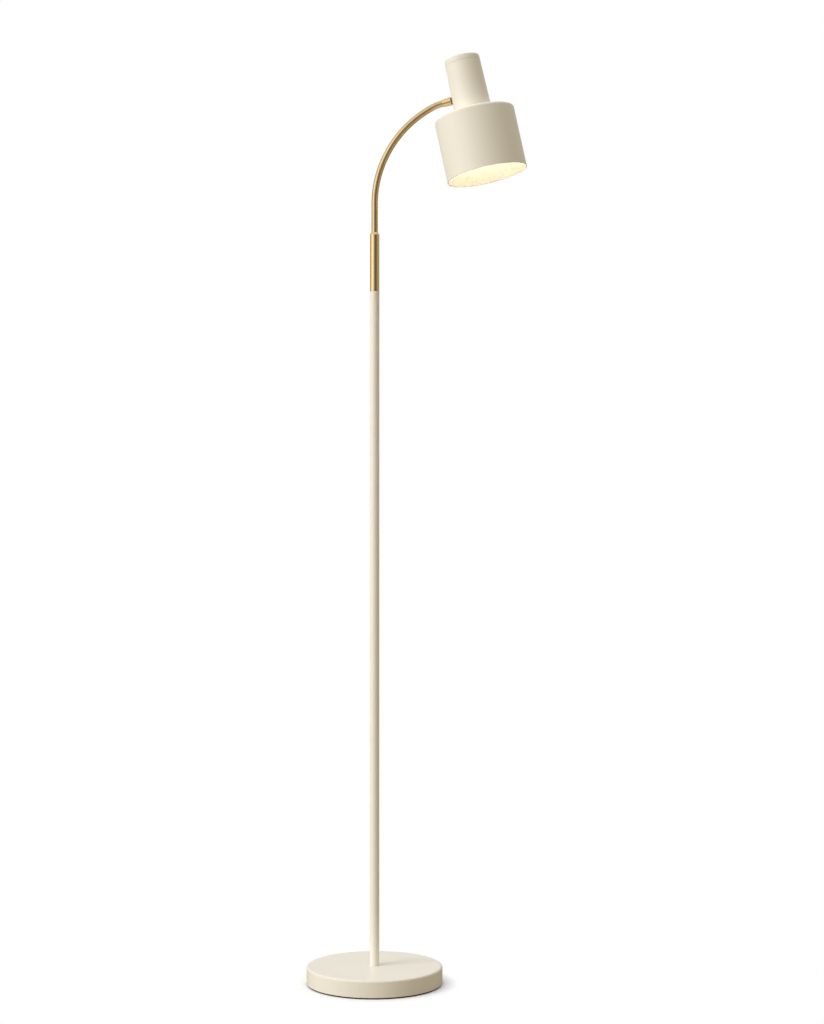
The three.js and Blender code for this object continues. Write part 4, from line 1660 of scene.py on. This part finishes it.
@dataclass(frozen=True)
class Studio:
    """A white room with a pale floor, soft lights and the camera."""

    lens: float = 68.25
    sensor: float = 36.0
    distance: float = 3.296
    aside: float = 0.0634
    eye_height: float = 0.768
    turn: float = math.radians(11.9)
    pitch: float = math.radians(0.530)
    floor_size: float = 30.0
    window_aside: float = math.radians(-61.0)
    window_rise: float = math.radians(24.0)
    window_angle: float = math.radians(30.0)
    window_strength: float = 1.34
    window_colour: Rgb = (0.85, 0.93, 1.0)
    back_light: Rgb = (0.54, 0.53, 0.49)
    back_spread: tuple[float, float] = (0.2, 0.8)
    front_light: Rgb = (0.15, 0.12, 0.06)
    front_aside: float = math.radians(27.0)
    front_spread: tuple[float, float] = (0.85, 0.96)
    top_spread: tuple[float, float] = (0.35, 0.75)
    top_light: Rgb = (0.90, 0.88, 0.87)

    def build(self) -> None:
        """Builds the studio."""
        self.camera()
        self.floor()
        self.surroundings()
        SoftBox().build()
        self.window()
        bpy.context.scene.view_settings.view_transform = "Standard"

    def camera(self) -> None:
        """Sets the camera level with the middle of the lamp, a little to the right of the pole."""
        data = bpy.data.cameras.new("camera")
        data.lens, data.sensor_width = self.lens, self.sensor
        data.clip_end = 100.0
        camera = bpy.data.objects.new("camera", data)
        ahead = Vector((-math.sin(self.turn), math.cos(self.turn), 0.0))
        right = Vector((math.cos(self.turn), math.sin(self.turn), 0.0))
        camera.location = right * self.aside - ahead * self.distance + Vector((0.0, 0.0, self.eye_height))
        camera.rotation_euler = (math.pi / 2 + self.pitch, 0.0, self.turn)
        bpy.context.scene.collection.objects.link(camera)
        bpy.context.scene.camera = camera

    def window(self) -> None:
        """Lets soft daylight in from high on the left."""
        light = bpy.data.lights.new("window_light", "SUN")
        light.energy = self.window_strength
        light.color = self.window_colour
        light.angle = self.window_angle
        window = bpy.data.objects.new("window_light", light)
        flat = math.cos(self.window_rise)
        turn = self.turn + self.window_aside
        towards = Vector((flat * math.sin(turn), -flat * math.cos(turn), math.sin(self.window_rise)))
        window.rotation_euler = towards.to_track_quat("Z", "Y").to_euler()
        window.visible_glossy = False
        bpy.context.scene.collection.objects.link(window)

    def floor(self) -> None:
        """Lays the floor."""
        half = self.floor_size / 2
        mesh = bpy.data.meshes.new("floor")
        corners = [(-half, -half, 0), (half, -half, 0), (half, half, 0), (-half, half, 0)]
        mesh.from_pydata(corners, [], [(0, 1, 2, 3)])
        floor = bpy.data.objects.new("floor", mesh)
        mesh.materials.append(FloorPaper().material())
        bpy.context.scene.collection.objects.link(floor)

    def surroundings(self) -> None:
        """Lights the room from behind and above, and keeps it dim in front. The camera sees plain white."""
        back = (-math.sin(self.turn), math.cos(self.turn), 0.0)
        front = self.turn + self.front_aside
        room = Room()
        room.patch(back, *self.back_spread, self.back_light)
        room.patch((math.sin(front), -math.cos(front), 0.0), *self.front_spread, self.front_light)
        room.patch((0.0, 0.0, 1.0), *self.top_spread, self.top_light)
        room.finish()


class Room:
    """The light that comes from all around, painted patch by patch over an even colour."""

    def __init__(self, colour: Rgb = (0.42, 0.385, 0.29), seen: Rgb = (1.0, 1.0, 1.0)) -> None:
        """Starts a room of one colour.

        Args:
            colour: the light from every side.
            seen: what the camera sees in its place.
        """
        self.world = bpy.data.worlds.new("studio")
        self.world.use_nodes = True
        bpy.context.scene.world = self.world
        self.nodes, self.links = self.world.node_tree.nodes, self.world.node_tree.links
        self.seen = seen
        self.direction = self.nodes.new("ShaderNodeTexCoord").outputs["Generated"]
        self.light = self.nodes.new("ShaderNodeRGB").outputs[0]
        self.light.default_value = (*colour, 1.0)

    def patch(self, towards: Sequence[float], start: float, end: float, colour: Rgb) -> None:
        """Paints one side of the room.

        Args:
            towards: the middle of the patch, seen from the lamp.
            start: cosine of the angle where the patch begins.
            end: cosine of the angle where it has its full colour.
            colour: its light.
        """
        dot = self.nodes.new("ShaderNodeVectorMath")
        dot.operation = "DOT_PRODUCT"
        self.links.new(self.direction, dot.inputs[0])
        dot.inputs[1].default_value = towards
        spread = self.nodes.new("ShaderNodeMapRange")
        spread.interpolation_type = "SMOOTHSTEP"
        spread.inputs["From Min"].default_value = start
        spread.inputs["From Max"].default_value = end
        self.links.new(dot.outputs["Value"], spread.inputs["Value"])
        mix = self.nodes.new("ShaderNodeMix")
        mix.data_type = "RGBA"
        self.links.new(spread.outputs["Result"], mix.inputs[0])
        self.links.new(self.light, mix.inputs[MIX_ONE])
        mix.inputs[MIX_OTHER].default_value = (*colour, 1.0)
        self.light = mix.outputs[MIX_RESULT]

    def finish(self) -> None:
        """Lights the room, and shows the camera a plain colour instead."""
        lit = self.nodes["Background"]
        self.links.new(self.light, lit.inputs["Color"])
        plain = self.nodes.new("ShaderNodeBackground")
        plain.inputs["Color"].default_value = (*self.seen, 1.0)
        choice = self.nodes.new("ShaderNodeMixShader")
        self.links.new(self.nodes.new("ShaderNodeLightPath").outputs["Is Camera Ray"], choice.inputs[0])
        self.links.new(lit.outputs[0], choice.inputs[1])
        self.links.new(plain.outputs[0], choice.inputs[2])
        self.links.new(choice.outputs[0], self.nodes["World Output"].inputs["Surface"])


def main() -> None:
    """Builds the studio and the lamp, sub-assembly by sub-assembly."""
    logging.basicConfig(level=logging.INFO, format="%(name)s: %(message)s")
    Studio().build()
    finishes = Finishes()
    parts = (Base(), Pole(), Sleeve(), Gooseneck(), Ferrule(), Neck(), Drum(), Lampholder(), Bulb())
    for part in parts:
        part.build(finishes)
        log.info("%s is finished", type(part).__name__)


if __name__ == "__main__":
    main()
